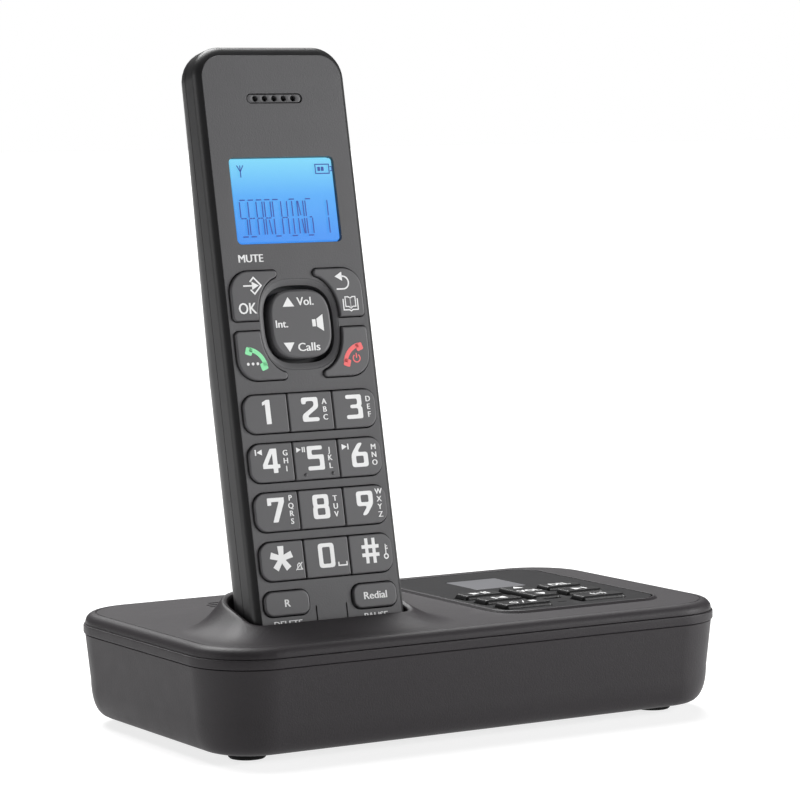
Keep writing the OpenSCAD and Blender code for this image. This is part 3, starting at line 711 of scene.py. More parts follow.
def handset_screws():
    """Pan heads with cross recesses, facing out of the back."""
    head = [(1.2, 3.0), (1.2, 1.45), (2.15, 1.42), (2.2, 0.7), (1.9, 0.2), (1.1, 0)]
    long, half = 1.3, 0.22
    quarter = [(long, -half), (long, half), (half, half)]
    cross = []
    for _ in range(4):
        cross += quarter
        quarter = [(-v, u) for u, v in quarter]
    heads, slots = [], []
    for x, y, seat in screw_places():
        heads.append(lathe_data([(r, seat + z) for r, z in head], x, y))
        slots.append(flat_data([shifted(cross, x, y)], seat - 1, seat + 0.9))
    piece = solid("handset_screw_heads", *joined(heads))
    carve(piece, slots)
    dress(piece, "handset", "plated_steel", "handset_screws")


handset_face()
handset_dish()
handset_rim()
handset_rear()
battery_door()
handset_screws()

# --- handset display ---


def segment_strokes():
    """End points of a fourteen-segment letter's bars, in a cell one wide and one high."""
    g = 0.05
    return {
        "a": ((g, 1), (1 - g, 1)), "b": ((1, 1 - g), (1, 0.5 + g / 2)), "c": ((1, 0.5 - g / 2), (1, g)),
        "d": ((g, 0), (1 - g, 0)), "e": ((0, g), (0, 0.5 - g / 2)), "f": ((0, 0.5 + g / 2), (0, 1 - g)),
        "g": ((g, 0.5), (0.45, 0.5)), "h": ((0.55, 0.5), (1 - g, 0.5)),
        "i": ((0.5, 0.95), (0.5, 0.53)), "l": ((0.5, 0.47), (0.5, 0.05)),
        "j": ((0.15, 0.95), (0.45, 0.55)), "m": ((0.55, 0.45), (0.85, 0.05)),
    }


LETTERS = {
    "S": "afghcd", "E": "afghed", "A": "abcefgh", "R": "abefghm", "C": "adef",
    "H": "bcefgh", "I": "adil", "N": "bcefjm", "G": "acdefh", "1": "bc",
}


def display():
    """The clear lens, the lit panel and its dark segments: status text, an aerial and a battery sign."""
    outline = distinct(round_box(lens_low, lens_high, 0, 1.3))
    lens_top, lens_under, glass_top = -0.1, -0.38, -0.42
    lens = flat("handset_lens", [outline], lens_under, lens_top, 0.1)
    dress(lens, "handset", "clear_lens", "handset_display_lens", sharp=1)
    low, high = extent("handset_display_module", IN_HAND)
    step = extent("handset_display_module", IN_HAND, top_only=True)[1].z - 0.5
    back = flat_data([round_box(low, high, 0, 1.0)], low.z, step, 0.15)
    glass = flat_data([inset(outline, 0.4)], step - 0.02, glass_top, 0.05)
    panel = solid("handset_display_panel", *joined([back, glass]))
    dress(panel, "handset", "display_backlight", "handset_display_module")
    strokes = []
    cell, pitch, tall, stroke = 1.87, 2.6, 10.3, 0.33
    left, base = -14.7, lens_low.y + 2.0
    bars = segment_strokes()
    for index, letter in enumerate("SEARCHING 1"):
        x = left + pitch * index
        for bar in LETTERS.get(letter, ""):
            ends = [(x + cell * u, base + tall * v) for u, v in bars[bar]]
            strokes += ribbon(ends, stroke)
    groups = [[stroke] for stroke in strokes]
    aerial_x, icon_y = -13.3, lens_high.y - 3.6
    for top in (-1.0, 0.0, 1.0):
        groups.append(ribbon([(aerial_x, icon_y - 0.3), (aerial_x + top, icon_y + 1.5)], 0.28))
    groups.append(ribbon([(aerial_x, icon_y - 0.4), (aerial_x, icon_y - 1.9)], 0.32))
    x0, x1, y0, y1 = 10.6, 15.0, icon_y - 1.2, icon_y + 1.4
    groups.append(ribbon(rectangle(x0, x1, y0, y1), 0.3, closed=True))
    groups.append(ribbon(rectangle(x1 + 0.3, x1 + 0.9, y0 + 0.7, y1 - 0.7), 0.28))
    for i in range(2):
        x = x0 + 1.15 * i
        groups.append([rounded(x + 0.7, x + 1.55, y0 + 0.7, y1 - 0.7, 0.1, 2)])
    shapes = [flat_data(outlines, lens_top - 0.03, lens_top + 0.01) for outlines in groups]
    marks = solid("handset_display_marks", *joined(shapes))
    dress(marks, "handset", "display_backlight", finish="display_segments")


display()

# --- handset keys ---


def cap(node, outline, edge, top=KEY_TOP):
    """A moulded key cap: straight sides, a rounded top edge and a flat top."""
    outline, steps = distinct(outline), 4
    rings = [level(outline, KEY_LOW), level(outline, top - edge)]
    for i in range(1, steps + 1):
        t = math.radians(90 * i / steps)
        rings.append(level(inset(outline, edge * (1 - math.cos(t))), top - edge + edge * math.sin(t)))
    rings.append(level(inset(outline, edge + 0.1), top))
    dress(loft(node + "_cap", rings), node, "handset_key_plastic", node)


DIGIT_KEYS = ["key_" + name for name in "1 2 3 4 5 6 7 8 9 star 0 hash".split()]


def handset_keys():
    for index, node in enumerate(DIGIT_KEYS):
        left = ROW_CORNER if index % 3 == 0 else 0.5
        right = ROW_CORNER if index % 3 == 2 else 0.5
        cap(node, rounded(*top_face(node), (right, left, left, right)), 0.34)
    for node in ("key_recall", "key_redial"):
        cap(node, rounded(*top_face(node), WIDE_KEY_CORNER), 0.5)
    for sy, left, right in ((1, "key_ok", "key_phonebook"), (-1, "key_talk", "key_end")):
        cap(left, corner_key(0, -1, sy), 0.42)
        cap(right, corner_key(0, 1, sy), 0.42)
    cap("key_navigation", on_pad(NAV_HALF, NAV_HALF, 3), 0.8, NAV_TOP)


handset_keys()

# --- legends: thin raised ink on the keys and covers ---

INK, SUNK = 0.035, 0.02              # how far the ink stands up, and how deep it starts


def text_mesh(words, size, leading=1.0):
    curve = bpy.data.curves.new("words", "FONT")
    curve.body = words
    curve.size = size
    curve.align_x = "CENTER"
    curve.space_line = leading
    curve.extrude = (INK + SUNK) / 2
    curve.resolution_u = 3
    return curve_data(curve, (INK - SUNK) / 2)


def span(verts, axis):
    return min(v[axis] for v in verts), max(v[axis] for v in verts)


capital_low, capital_high = span(text_mesh("H", 1.0)[0], 1)
CAP_HEIGHT = capital_high - capital_low


def words(text, height, x, y, heavy=0.0, narrow=1.0, leading=1.0):
    """Text of that capital height, its middle at (x, y), its strokes widened by heavy."""
    verts, faces = text_mesh(text, height / CAP_HEIGHT, leading)
    middle_x, middle_y = (sum(span(verts, axis)) / 2 for axis in (0, 1))
    copies = []
    for step in (-1, 0, 1) if heavy else (0,):
        aside, lift = x + step * heavy / 2, step * 0.004
        moved = [(aside + (u - middle_x) * narrow, y + v - middle_y, w + lift) for u, v, w in verts]
        copies.append((moved, faces))
    return joined(copies)


def ink(*outlines):
    return flat_data(list(outlines), -SUNK, INK)


def legend(name, parts, body, top=KEY_TOP, finish="white_ink", slot="handset_key_plastic"):
    """Ink parts as one thin piece on a surface at that level."""
    piece = solid(name, *joined(parts))
    piece.data.transform(Matrix.Translation((0, 0, top)))
    dress(piece, body, slot, finish=finish)


def digit(outlines, x, y, wide=5.5, tall=7.0):
    """An outline and its holes, from a cell five wide and seven high, softened and put at (x, y)."""
    placed = []
    for index, (points, r) in enumerate(outlines):
        points = [(x + (u - 2.5) * wide / 5, y + (v - 3.5) * tall / 7) for u, v in points]
        thinner = inset(points, -THIN if index else THIN)
        placed.append(softened(thinner, r))
    return ink(*placed)


def turned(points):
    return [(5 - u, 7 - v) for u, v in points]


THIN = 0.12                          # taken off each side of a digit's strokes
# Each digit's outline and holes, with the softness of their corners
SIX = [(0, 0), (5, 0), (5, 4.4), (2.1, 4.4), (3.9, 7), (2.2, 7), (0, 3.8)]
SIX_HOLE = rectangle(1.5, 3.5, 1.3, 3.1)
DIGITS = {
    "key_1": [([(1.7, 0), (3.3, 0), (3.3, 7), (2.2, 7), (0.9, 6.3), (0.9, 5.1), (1.7, 5.5)], 0.15)],
    "key_2": [([(0, 0), (5, 0), (5, 1.35), (1.9, 1.35), (1.9, 1.7), (5, 3.9), (5, 7), (0, 7), (0, 4.9),
                (1.5, 4.9), (1.5, 5.7), (3.5, 5.7), (3.5, 4.5), (0, 2.1)], 0.7)],
    "key_3": [([(0, 0), (5, 0), (5, 3.2), (4.6, 3.6), (4.9, 4), (4.9, 7), (0.1, 7), (0.1, 5.65), (3.4, 5.65),
                (3.4, 4.2), (1.3, 4.2), (1.3, 2.95), (3.5, 2.95), (3.5, 1.35), (0, 1.35)], 0.6)],
    "key_4": [([(2.9, 0), (4.4, 0), (4.4, 1.3), (5.1, 1.3), (5.1, 2.6), (4.4, 2.6), (4.4, 7), (2.4, 7),
                (0, 2.6), (0, 1.3), (2.9, 1.3)], 0.25),
              ([(1.6, 2.6), (2.9, 2.6), (2.9, 5.1)], 0.1)],
    "key_5": [([(0, 0), (5, 0), (5, 4.5), (1.6, 4.5), (1.6, 5.65), (4.7, 5.65), (4.7, 7), (0.1, 7),
                (0.1, 3.15), (3.5, 3.15), (3.5, 1.35), (0, 1.35)], 0.5)],
    "key_6": [(SIX, 0.9), (SIX_HOLE, 0.4)],
    "key_7": [([(1.1, 0), (2.8, 0), (5, 5.6), (5, 7), (0, 7), (0, 4.7), (1.3, 4.7), (1.3, 5.65),
                (3.2, 5.65)], 0.2)],
    "key_8": [([(0, 0), (5, 0), (5, 3.1), (4.7, 3.6), (4.9, 4.1), (4.9, 7), (0.1, 7), (0.1, 4.1), (0.3, 3.6),
                (0, 3.1)], 0.9),
              (rectangle(1.5, 3.5, 1.3, 2.95), 0.4), (rectangle(1.6, 3.4, 4.2, 5.7), 0.4)],
    "key_9": [(turned(SIX), 0.9), (turned(SIX_HOLE), 0.4)],
    "key_0": [(rectangle(0.1, 4.9, 0, 7), 1.0), (rectangle(1.5, 3.5, 1.3, 5.7), 0.4)],
}
GROUPS = "ABC DEF GHI JKL MNO PQRS TUV WXYZ"
STACKS = {"key_%d" % (index + 2): letters for index, letters in enumerate(GROUPS.split())}


def star(x, y, r=3.5, half=0.75, arms=5):
    """A five-armed star with straight arms."""
    points = []
    for k in range(arms):
        t = math.radians(90 + 360 * k / arms)
        along, aside = Vector((math.cos(t), math.sin(t))), Vector((-math.sin(t), math.cos(t)))
        for side in (-1, 1):
            p = along * r + aside * half * side * 1.25
            points.append((x + p.x, y + p.y))
        t += math.pi / arms
        d = half / math.sin(math.pi / arms)
        points.append((x + d * math.cos(t), y + d * math.sin(t)))
    return ink(points)


def hash_sign(x, y, a=1.15, half=0.5, wide=2.75, tall=3.5):
    """A hash sign: one outline round its two pairs of bars, and the hole between them."""
    quarter = [(a - half, a + half), (a - half, tall), (a + half, tall), (a + half, a + half),
               (wide, a + half), (wide, a - half), (a + half, a - half)]
    signs = ((1, 1), (-1, 1), (-1, -1), (1, -1))
    points = []
    for index, (sx, sy) in enumerate(signs):
        part = [(sx * u, sy * v) for u, v in quarter]
        points += part if index % 2 else part[::-1]
    hole = [(a - half, a - half), (half - a, a - half), (half - a, half - a), (a - half, half - a)]
    return ink(shifted(points, x, y), shifted(hole, x, y))


def triangle(x, y, w, h):
    """A filled triangle that points along its height; a negative height points down."""
    points = [(x - w / 2, y - h / 2), (x + w / 2, y - h / 2), (x, y + h / 2)]
    return ink(points if h > 0 else points[::-1])


def side_triangle(x, y, w, h):
    points = [(x - w / 2, y - h / 2), (x + w / 2, y), (x - w / 2, y + h / 2)]
    return ink(points if w > 0 else points[::-1])


def bar(x0, x1, y0, y1):
    return ink(rectangle(x0, x1, y0, y1))


def line(points, width, closed=False):
    return ink(*ribbon(points, width, closed))


def skip_sign(x, y, s, way):
    """A triangle that runs into a bar, to the right, or to the left where way is -1."""
    ends = sorted(x + way * d * s for d in (0.7, 1.1))
    stop = bar(*ends, y - 0.85 * s, y + 0.85 * s)
    return [stop, side_triangle(x - way * 0.35 * s, y, way * 1.7 * s, 1.7 * s)]


def play_sign(x, y, s):
    bars = [bar(x + d * s, x + (d + 0.4) * s, y - 0.85 * s, y + 0.85 * s) for d in (0.5, 1.2)]
    return bars + [side_triangle(x - 0.75 * s, y, 1.7 * s, 1.7 * s)]


def handset_sign(x, y, s, tilt):
    """A small telephone handset: a curved grip with a block at each end."""
    bow_r, half_angle = 6.4, 34
    shapes = [ribbon(arc(0, -bow_r, bow_r, 90 - half_angle, 90 + half_angle, 14), 1.35)[0]]
    for side in (-1, 1):
        t = math.radians(90 - side * half_angle)
        turn = Matrix.Rotation(-side * math.radians(half_angle - 8), 2)
        end = Vector((bow_r * math.cos(t), -bow_r + bow_r * math.sin(t)))
        block = softened([(-1.15, -1.75), (1.15, -1.75), (1.15, 0.55), (-1.15, 0.55)], 0.5)
        shapes.append([tuple(end + turn @ Vector(p)) for p in block])
    turn = Matrix.Rotation(math.radians(tilt), 2)
    placed = []
    for points in shapes:
        moved = [turn @ (Vector(p) + Vector((0, 0.8))) * s for p in points]
        placed.append([(x + p.x, y + p.y) for p in moved])
    return [ink(points) for points in placed]


def digit_legends():
    for node in DIGIT_KEYS:
        x0, x1, y0, y1 = top_face(node)
        x, y = (x0 + x1) / 2 - 0.2, (y0 + y1) / 2 + 0.75
        parts = []
        if node in DIGITS:
            parts.append(digit(DIGITS[node], x + (0.8 if node == "key_1" else 0), y - 0.25))
        if node in STACKS:
            letters = "\n".join(STACKS[node])
            parts.append(words(letters, 1.5, x + 4.65, y - 0.4, 0.12, 1.0, 0.98 if len(letters) > 5 else 1.0))
        if node == "key_star":
            bell = [(-0.9, -0.8), (0.9, -0.8), (0.55, -0.35), (0.5, 0.5), (0, 0.95)]
            bell += [(-0.5, 0.5), (-0.55, -0.35)]
            parts += [star(x - 0.1, y - 0.1), line(shifted(bell, x + 5.2, y - 2.6), 0.26, closed=True)]
            parts.append(line([(x + 4.1, y - 3.6), (x + 6.2, y - 1.5)], 0.26))
        if node == "key_hash":
            bow = arc(x + 4.9, y - 1.9, 0.62, 0, 345, 23)
            parts += [hash_sign(x, y), line(bow, 0.36, closed=True)]
            for blade in ((4.74, 5.06, -1.2, 1.5), (5.0, 5.6, 0.1, 0.4), (5.0, 5.5, 0.8, 1.1)):
                parts.append(ink(shifted(rectangle(*blade), x, y)))
        if node == "key_0":
            tray = [(3.6, -2.3), (3.6, -3.3), (6.2, -3.3), (6.2, -2.3)]
            parts.append(line(shifted(tray, x, y), 0.36))
        if node == "key_4":
            parts += skip_sign(x0 + 2.9, y1 - 2.3, 0.95, -1)
        if node == "key_5":
            parts += play_sign(x0 + 2.3, y1 - 2.3, 0.85)
            pip = [(0.5, -0.1), (0.46, 0.14), (0.3, 0.3), (0.1, 0.36)]
            pips = [lathe_data(pip, x0 + along, y0 + 1.3, 20) for along in (3.2, 11.9)]
            legend("key_5_pips", pips, node, finish="handset_key_plastic")
        if node == "key_6":
            parts += skip_sign(x0 + 2.3, y1 - 2.3, 0.95, 1)
        legend(node + "_legend", parts, node)


def mirrored(points):
    return [(-u, v) for u, v in points[::-1]]


def function_legends():
    """Legends of the four corner keys, the pad, the two wide keys and the cover beside them."""
    y = NAV_Y
    gate = [(-14.7, 12.2), (-13.5, 13.4), (-11.3, 11.1), (-13.5, 8.8), (-14.7, 10.0)]
    enter = [bar(-16.9, -13.9, y + 10.9, y + 11.3), side_triangle(-13.1, y + 11.1, 2.1, 2.3)]
    enter += [line(shifted(gate, 0, y), 0.42), words("OK", 3.0, -16.2, y + 4.85, 0.14, 0.87)]
    legend("key_ok_legend", enter, "key_ok")
    turn = [(12.6, y + 9.2)] + arc(14.8, y + 11.0, 1.8, -90, 75, 14) + [(14.4, y + 12.85)]
    book = [line(turn, 0.42), side_triangle(13.5, y + 12.8, -2.3, 2.6)]
    page = [(0, -1.3), (-0.7, -0.8), (-1.75, -0.8), (-1.75, 2.2), (-0.7, 2.2), (0, 1.7)]
    spine = [(-2.5, 1.6), (-2.5, -1.8), (-0.6, -1.8)]
    spot = (16.55, y + 4.9, 0.92)
    book += [line(shifted(half, *spot), 0.3, closed=True) for half in (page, mirrored(page))]
    book.append(line(shifted(spine + [(0, -2.2)] + mirrored(spine), *spot), 0.34))
    legend("key_phonebook_legend", book, "key_phonebook")
    legend("key_talk_legend", handset_sign(-14.7, y - 8.7, 0.92, -45), "key_talk", finish="green_ink")
    dots = [lathe_data([(0.42, -SUNK), (0.42, INK)], -18.0 + 1.5 * i, y - 10.6, 16) for i in range(3)]
    legend("key_talk_dots", dots, "key_talk")
    end = handset_sign(15.0, y - 8.9, 0.92, 45)
    end += [line(arc(16.5, y - 10.5, 1.1, 125, 415, 20), 0.34), bar(16.33, 16.67, y - 10.4, y - 9.0)]
    legend("key_end_legend", end, "key_end", finish="red_ink")
    cone = [(4.95, -1.1), (7.0, -2.4), (7.0, 2.4), (4.95, 1.1)]
    pad = [triangle(-3.45, y + 6.2, 3.6, 2.7), triangle(-4.55, y - 6.5, 3.4, -2.6)]
    pad += [words("Vol.", 2.25, 1.95, y + 6.2, 0.14, 1.03), words("Calls", 2.25, 1.7, y - 6.6, 0.14, 1.12)]
    pad += [words("Int.", 2.05, -6.15, y + 0.1, 0.14, 1.05), bar(3.5, 4.6, y - 1.0, y + 1.0)]
    pad.append(ink(shifted(cone, 0, y)))
    legend("key_navigation_legend", pad, "key_navigation", NAV_TOP)
    marks = [words("MUTE", 2.1, -13.1, y + 18.85, 0.16, 1.0)]
    for node, text, below in (("key_recall", "R", "DELETE"), ("key_redial", "Redial", "PAUSE")):
        x0, x1, y0, y1 = top_face(node)
        x = (x0 + x1) / 2
        legend(node + "_legend", [words(text, 2.0, x, (y0 + y1) / 2, 0.14, 1.07)], node)
        marks.append(words(below, 1.75, x, y0 - 2.25, 0.14, 1.05))
    legend("handset_face_legend", marks, "handset", 0, slot="handset_face_plastic")


digit_legends()
function_legends()

# --- base housings ---

band_low, band_high = extent("base_trim_band", IN_BASE)
panel_low, panel_high = extent("base_control_panel", IN_BASE)
HALF_X, HALF_Y = band_high.x, band_high.y
SEAM_LOW, SEAM_HIGH = band_low.z, band_high.z
BASE_CORNER = 19.0
PANEL_TOP = panel_high.z
PANEL_CORNER = 6.8
PANEL_LEDGE = 1.4                    # what the panel rests on all round
SLOT_PITCH = 3.2                     # spacing of the slots over the loudspeaker
BASE_TOP = PANEL_TOP - 0.7
STEP = 0.5                           # the housings stand this far inside the band
WALL = 2.2
POCKET_HALF = HALF_W + 0.8           # room for the handset in the cradle
POCKET_FRONT, POCKET_BACK = 0.7, DEPTH + 0.8
RIM_Y, RIM_Z, RIM_SLOPE = -30.0, 35.5, math.tan(math.radians(15))
SEAT = IN_HAND.translation / MM      # the handset's own origin
LEANING = math.tan(LEAN)
FLARE = 14.0                         # how far the collar's foot spreads


def base_outline(d, n=14):
    r = max(BASE_CORNER - d, 3)
    return rounded(-HALF_X + d, HALF_X - d, -HALF_Y + d, HALF_Y - d, r, n)


def base_band():
    """The proud band round the base, its edges rounded, between two fine seams."""
    z0, z1, r = SEAM_LOW + 0.07, SEAM_HIGH - 0.07, 0.4
    profile = [(STEP + WALL, z0), (r, z0), (0.13, z0 + 0.13), (0, z0 + r)]
    profile += [(0, z1 - r), (0.13, z1 - 0.13), (r, z1), (STEP + WALL, z1)]
    piece = sweep("base_band", base_outline, profile, closed=True)
    dress(piece, "base", "base_plastic", "base_trim_band")


foot_low, foot_high = extent("base_feet", IN_BASE)
FOOT_R = 5.3
FOOT_X = (foot_low.x + FOOT_R, foot_high.x - FOOT_R)
FOOT_Y = (foot_low.y + FOOT_R, foot_high.y - FOOT_R)
FEET = [(x, y) for x in FOOT_X for y in FOOT_Y]
screw_high, SCREW_HEAD = extent("base_screws", IN_BASE)[1], 2.2
SCREW_X, SCREW_Y = screw_high.x - SCREW_HEAD, screw_high.y - SCREW_HEAD
line_low, line_high = extent("base_line_jack", IN_BASE)
JACK_X = middle("base_power_jack", IN_BASE)[0]
LINE_X, _, JACK_Z = middle("base_line_jack", IN_BASE)
BOTTOM = extent("base_bottom_shell", IN_BASE)[0].z


def base_shell():
    """The lower housing: drafted walls that round under into the floor."""
    draft, knee, steps = 1.9, 13.0, 12
    outer = [(STEP + 0.25, SEAM_LOW - 0.02), (STEP, SEAM_LOW - 0.25), (1.2, 19.5), (draft, knee)]
    start, bend, end = Vector((draft, knee)), Vector((2.0, BOTTOM + 0.15)), Vector((7.8, BOTTOM))
    for i in range(1, steps + 1):
        t = i / steps
        p = start * (1 - t) ** 2 + bend * (2 * t * (1 - t)) + end * t**2
        outer.append((p.x, p.y))
    inner = [(9.5, BOTTOM + WALL), (6.0, BOTTOM + WALL + 1)]
    inner += [(draft + WALL, knee), (STEP + WALL, SEAM_LOW - 0.02)]
    piece = sweep("base_lower_shell", base_outline, inner + outer + [(12.0, BOTTOM)])
    recess = [(FOOT_R + 0.15, BOTTOM - 1), (FOOT_R + 0.15, BOTTOM + 0.82)]
    cuts = [lathe_data(recess, x, y, 48) for x, y in FEET]
    well = [(2.5, BOTTOM - 1), (2.5, BOTTOM + 1.9)]
    cuts += [lathe_data(well, sx * SCREW_X, sy * SCREW_Y) for sx, sy in SIDES]
    inside, outside, room = HALF_Y - 8, HALF_Y + 4, 0.15
    cuts.append(rod_data((JACK_X, inside, JACK_Z), (JACK_X, outside, JACK_Z), 4.15, 48))
    across, up = (line_low.x - room, line_high.x + room), (line_low.z - room, line_high.z + room)
    cuts.append(box_data(*across, inside, outside, *up))
    carve(piece, cuts)
    dress(piece, "base", "base_plastic", "base_bottom_shell", sharp=24)


def feet():
    profile = [(FOOT_R - 1.2, 0), (FOOT_R - 0.5, 0.12), (FOOT_R - 0.12, 0.5), (FOOT_R, 1.1)]
    profile.append((FOOT_R, foot_high.z))
    piece = solid("base_rubber_feet", *joined([lathe_data(profile, x, y, 48) for x, y in FEET]))
    dress(piece, "base", "foot_rubber", "base_feet")


def pocket_outline(grow):
    """The cradle's opening at the level of the flat top, seen from above and grown outwards."""
    front = SEAT.y + LEANING * (BASE_TOP - SEAT.z) - POCKET_FRONT / math.cos(LEAN)
    back = front + (POCKET_FRONT + POCKET_BACK) / math.cos(LEAN)
    radii, half = (9 + grow, 9 + grow, 3 + grow, 3 + grow), POCKET_HALF
    return rounded(SEAT.x - half - grow, SEAT.x + half + grow, front - grow, back + grow, radii, 12)


def spokes():
    """Middle of the cradle, and the directions from it to every corner point of both outlines."""
    outline = pocket_outline(0)
    cx = sum(p[0] for p in outline) / len(outline)
    cy = sum(span(outline, 1)) / 2
    angles = []
    for shape in (pocket_outline(0), pocket_outline(FLARE), base_outline(0)):
        angles += [math.atan2(y - cy, x - cx) for x, y in shape]
    angles += [math.radians(a) for a in range(-180, 180, 5)]
    kept = []
    for angle in sorted(angles):
        if not kept or angle - kept[-1] > math.radians(0.35):
            kept.append(angle)
    return (cx, cy), kept


HUB, SPOKES = spokes()


def on_spokes(outline):
    """Where each spoke crosses an outline."""
    cx, cy = HUB
    ends = distinct(outline)
    polar = sorted((math.atan2(y - cy, x - cx), x, y) for x, y in ends)
    first, last, full = polar[0], polar[-1], 2 * math.pi
    polar = [(last[0] - full, *last[1:])] + polar + [(first[0] + full, *first[1:])]
    points, k = [], 0
    for angle in SPOKES:
        while polar[k + 1][0] < angle:
            k += 1
        (_, ax, ay), (_, bx, by) = polar[k], polar[k + 1]
        dx, dy = math.cos(angle), math.sin(angle)
        ex, ey = bx - ax, by - ay
        t = ((ax - cx) * ey - (ay - cy) * ex) / (dx * ey - dy * ex)
        points.append((cx + dx * t, cy + dy * t))
    return points


def leaned(points, heights):
    """Points of the level of the flat top, moved along the handset's lean to their own heights."""
    return [(x, y + LEANING * (z - BASE_TOP), z) for (x, y), z in zip(points, heights)]


def rim_heights():
    """Heights of the collar's rim, a sloping plane, where each spoke meets the pocket's wall."""
    start = RIM_Y + LEANING * BASE_TOP
    share = 1 - RIM_SLOPE * LEANING
    return [(RIM_Z + RIM_SLOPE * (y - start)) / share for _, y in on_spokes(pocket_outline(0))]


def floor_heights(local_y):
    """Heights at the same spots of a plane across the handset, at local_y along it."""
    heights = []
    for _, y in on_spokes(pocket_outline(0)):
        out = (y - SEAT.y - LEANING * (BASE_TOP - SEAT.z)) * math.cos(LEAN)
        heights.append(SEAT.z + local_y * math.cos(LEAN) - out * math.sin(LEAN))
    return heights


def collar_rings():
    """Rings from the cradle's floor up its wall, over the rim and down the hollow flare."""
    rims = rim_heights()
    wall = on_spokes(pocket_outline(0))
    rings = [leaned(wall, floor_heights(-0.2)), leaned(wall, [z - 2.5 for z in rims])]
    lip, blend = 1.4, 0.04
    for d, drop in ((0.0, 1.1), (0.08, 0.7), (0.33, 0.32), (0.8, 0.07), (lip, 0.0)):
        rings.append(leaned(on_spokes(pocket_outline(d)), [z - drop for z in rims]))
    for d in (1.7, 2.05, 2.4, 2.9, 3.6, 4.4, 5.3, 6.3, 7.4, 8.6, 9.9, 11.2, 12.6, FLARE):
        t = (d - lip) / (FLARE - lip)
        t = t**2 / (t + blend) * (1 + blend)
        heights = [BASE_TOP + (z - BASE_TOP) * (1 - t) ** 2 for z in rims]
        rings.append(leaned(on_spokes(pocket_outline(d)), heights))
    return rings


def top_skin():
    """The top cover's closed skin: collar, flat top with a fine groove, rounded rim and underside."""
    rings = collar_rings()
    edge, low, under, steps = 3.3, SEAM_HIGH + 0.25, BASE_TOP - 2.4, 9
    for d, z in ((0.75, 0), (0.55, -0.06), (0.45, -0.22), (0.3, -0.22), (0.2, -0.06)):
        rings.append(level(on_spokes(base_outline(edge + d)), BASE_TOP + z))
    for i in range(steps + 1):
        t = math.radians(90 * i / steps)
        outline = on_spokes(base_outline(edge - (edge - STEP) * math.sin(t)))
        rings.append(level(outline, low + (BASE_TOP - low) * math.cos(t)))
    foot = SEAM_HIGH + 0.02
    for d, z in ((0, foot + 0.1), (0.12, foot), (WALL, foot), (WALL + 1, under)):
        rings.append(level(on_spokes(base_outline(STEP + d)), z))
    inner = on_spokes(pocket_outline(2.2))
    rings.append(leaned(inner, [under] * len(inner)))
    rings.append(leaned(inner, floor_heights(-2.2)))
    return loft("base_top_skin", rings)


def base_top():
    """The top cover, with its raised edge round the panel, speaker slots and contact holes."""
    piece = top_skin()
    panel = distinct(round_box(panel_low, panel_high, 0, PANEL_CORNER, 12))
    edge = [(1.75, BASE_TOP - 0.6), (1.75, BASE_TOP - 0.02), (1.6, BASE_TOP + 0.03), (1.25, BASE_TOP + 0.4)]
    edge += [(d, PANEL_TOP + z) for d, z in ((1.0, -0.02), (0.75, 0.08), (0.4, 0.05), (0.2, -0.05))]
    carve(piece, [loft_data([level(inset(panel, -d), z) for d, z in edge])], "UNION")
    carve(piece, [flat_data([inset(panel, -0.32)], panel_low.z, PANEL_TOP + 3)])
    below = SEAM_HIGH - 4
    cuts = [flat_data([round_box(panel_low, panel_high, -PANEL_LEDGE, 3.2)], below, PANEL_TOP)]
    x, y, _ = middle("base_loudspeaker", IN_BASE)
    for i in range(-2, 3):
        half = SLOT_PITCH * math.sqrt(2.7**2 - i**2)
        across = y + SLOT_PITCH * i
        slot = rounded(x - half, x + half, across - 0.7, across + 0.7, 0.65, 5)
        cuts.append(flat_data([slot], below, PANEL_TOP))
    carve(piece, cuts)
    x, _, z = middle("base_charge_contact_right", IN_HAND)
    to_base = IN_BASE.inverted() @ IN_HAND
    holes = []
    for side in (-1, 1):
        verts, faces = rod_data((side * x, -6, z), (side * x, 2, z), 1.45, 24)
        holes.append(([tuple(to_base @ Vector(v)) for v in verts], faces))
    carve(piece, holes)
    dress(piece, "base", "base_plastic", "base_top_cover", sharp=21)


base_band()
base_shell()
feet()
base_top()

# --- base control panel ---

BASE_KEYS = ["base_key_" + name for name in "play previous power_stop delete next page".split()]
BASE_KEYS.append("base_volume_rocker")
BASE_KEY_CORNER = 1.2
base_key_low, base_key_high = extent("base_key_play", IN_BASE)


def base_body(node):
    return node.replace("base_key_", "base_").replace("base_volume", "volume")


def control_panel():
    low, high = extent("base_display_window", IN_BASE)
    keys = [rounded(*top_face(node, IN_BASE), BASE_KEY_CORNER) for node in BASE_KEYS]
    holes = [inset(distinct(key), -KEY_GAP) for key in keys]
    x, y, _ = middle("base_microphone", IN_BASE)
    holes.append(round_box(low, high, 0.1, 0.8))
    holes.append(rounded(x - 1.5, x + 1.5, y - 0.4, y + 0.4, 0.35, 4))
    outline = inset(distinct(round_box(panel_low, panel_high, 0, PANEL_CORNER, 12)), 0.08)
    piece = flat("base_panel_plate", [outline] + holes, panel_low.z, PANEL_TOP, 0.14)
    dress(piece, "base", "panel_plastic", "base_control_panel")
    window = flat("base_window", [round_box(low, high, -0.1, 0.75)], low.z, high.z + 0.06, 0.08)
    dress(window, "base", "smoked_window", "base_display_window")


def base_keys():
    """Keys with sloping sides and small flat tops, and a longer rocker for the volume."""
    slope = ((0.25, 0.55), (0.55, 0.25), (0.68, 0.1), (0.85, 0.02), (1.0, 0.0))
    for node in BASE_KEYS:
        outline = distinct(rounded(*top_face(node, IN_BASE), BASE_KEY_CORNER))
        rings = [level(outline, base_key_low.z), level(outline, PANEL_TOP + 0.1)]
        rings += [level(inset(outline, d * 0.95), base_key_high.z - drop) for d, drop in slope]
        dress(loft(node + "_cap", rings), base_body(node), "base_key_plastic", node)


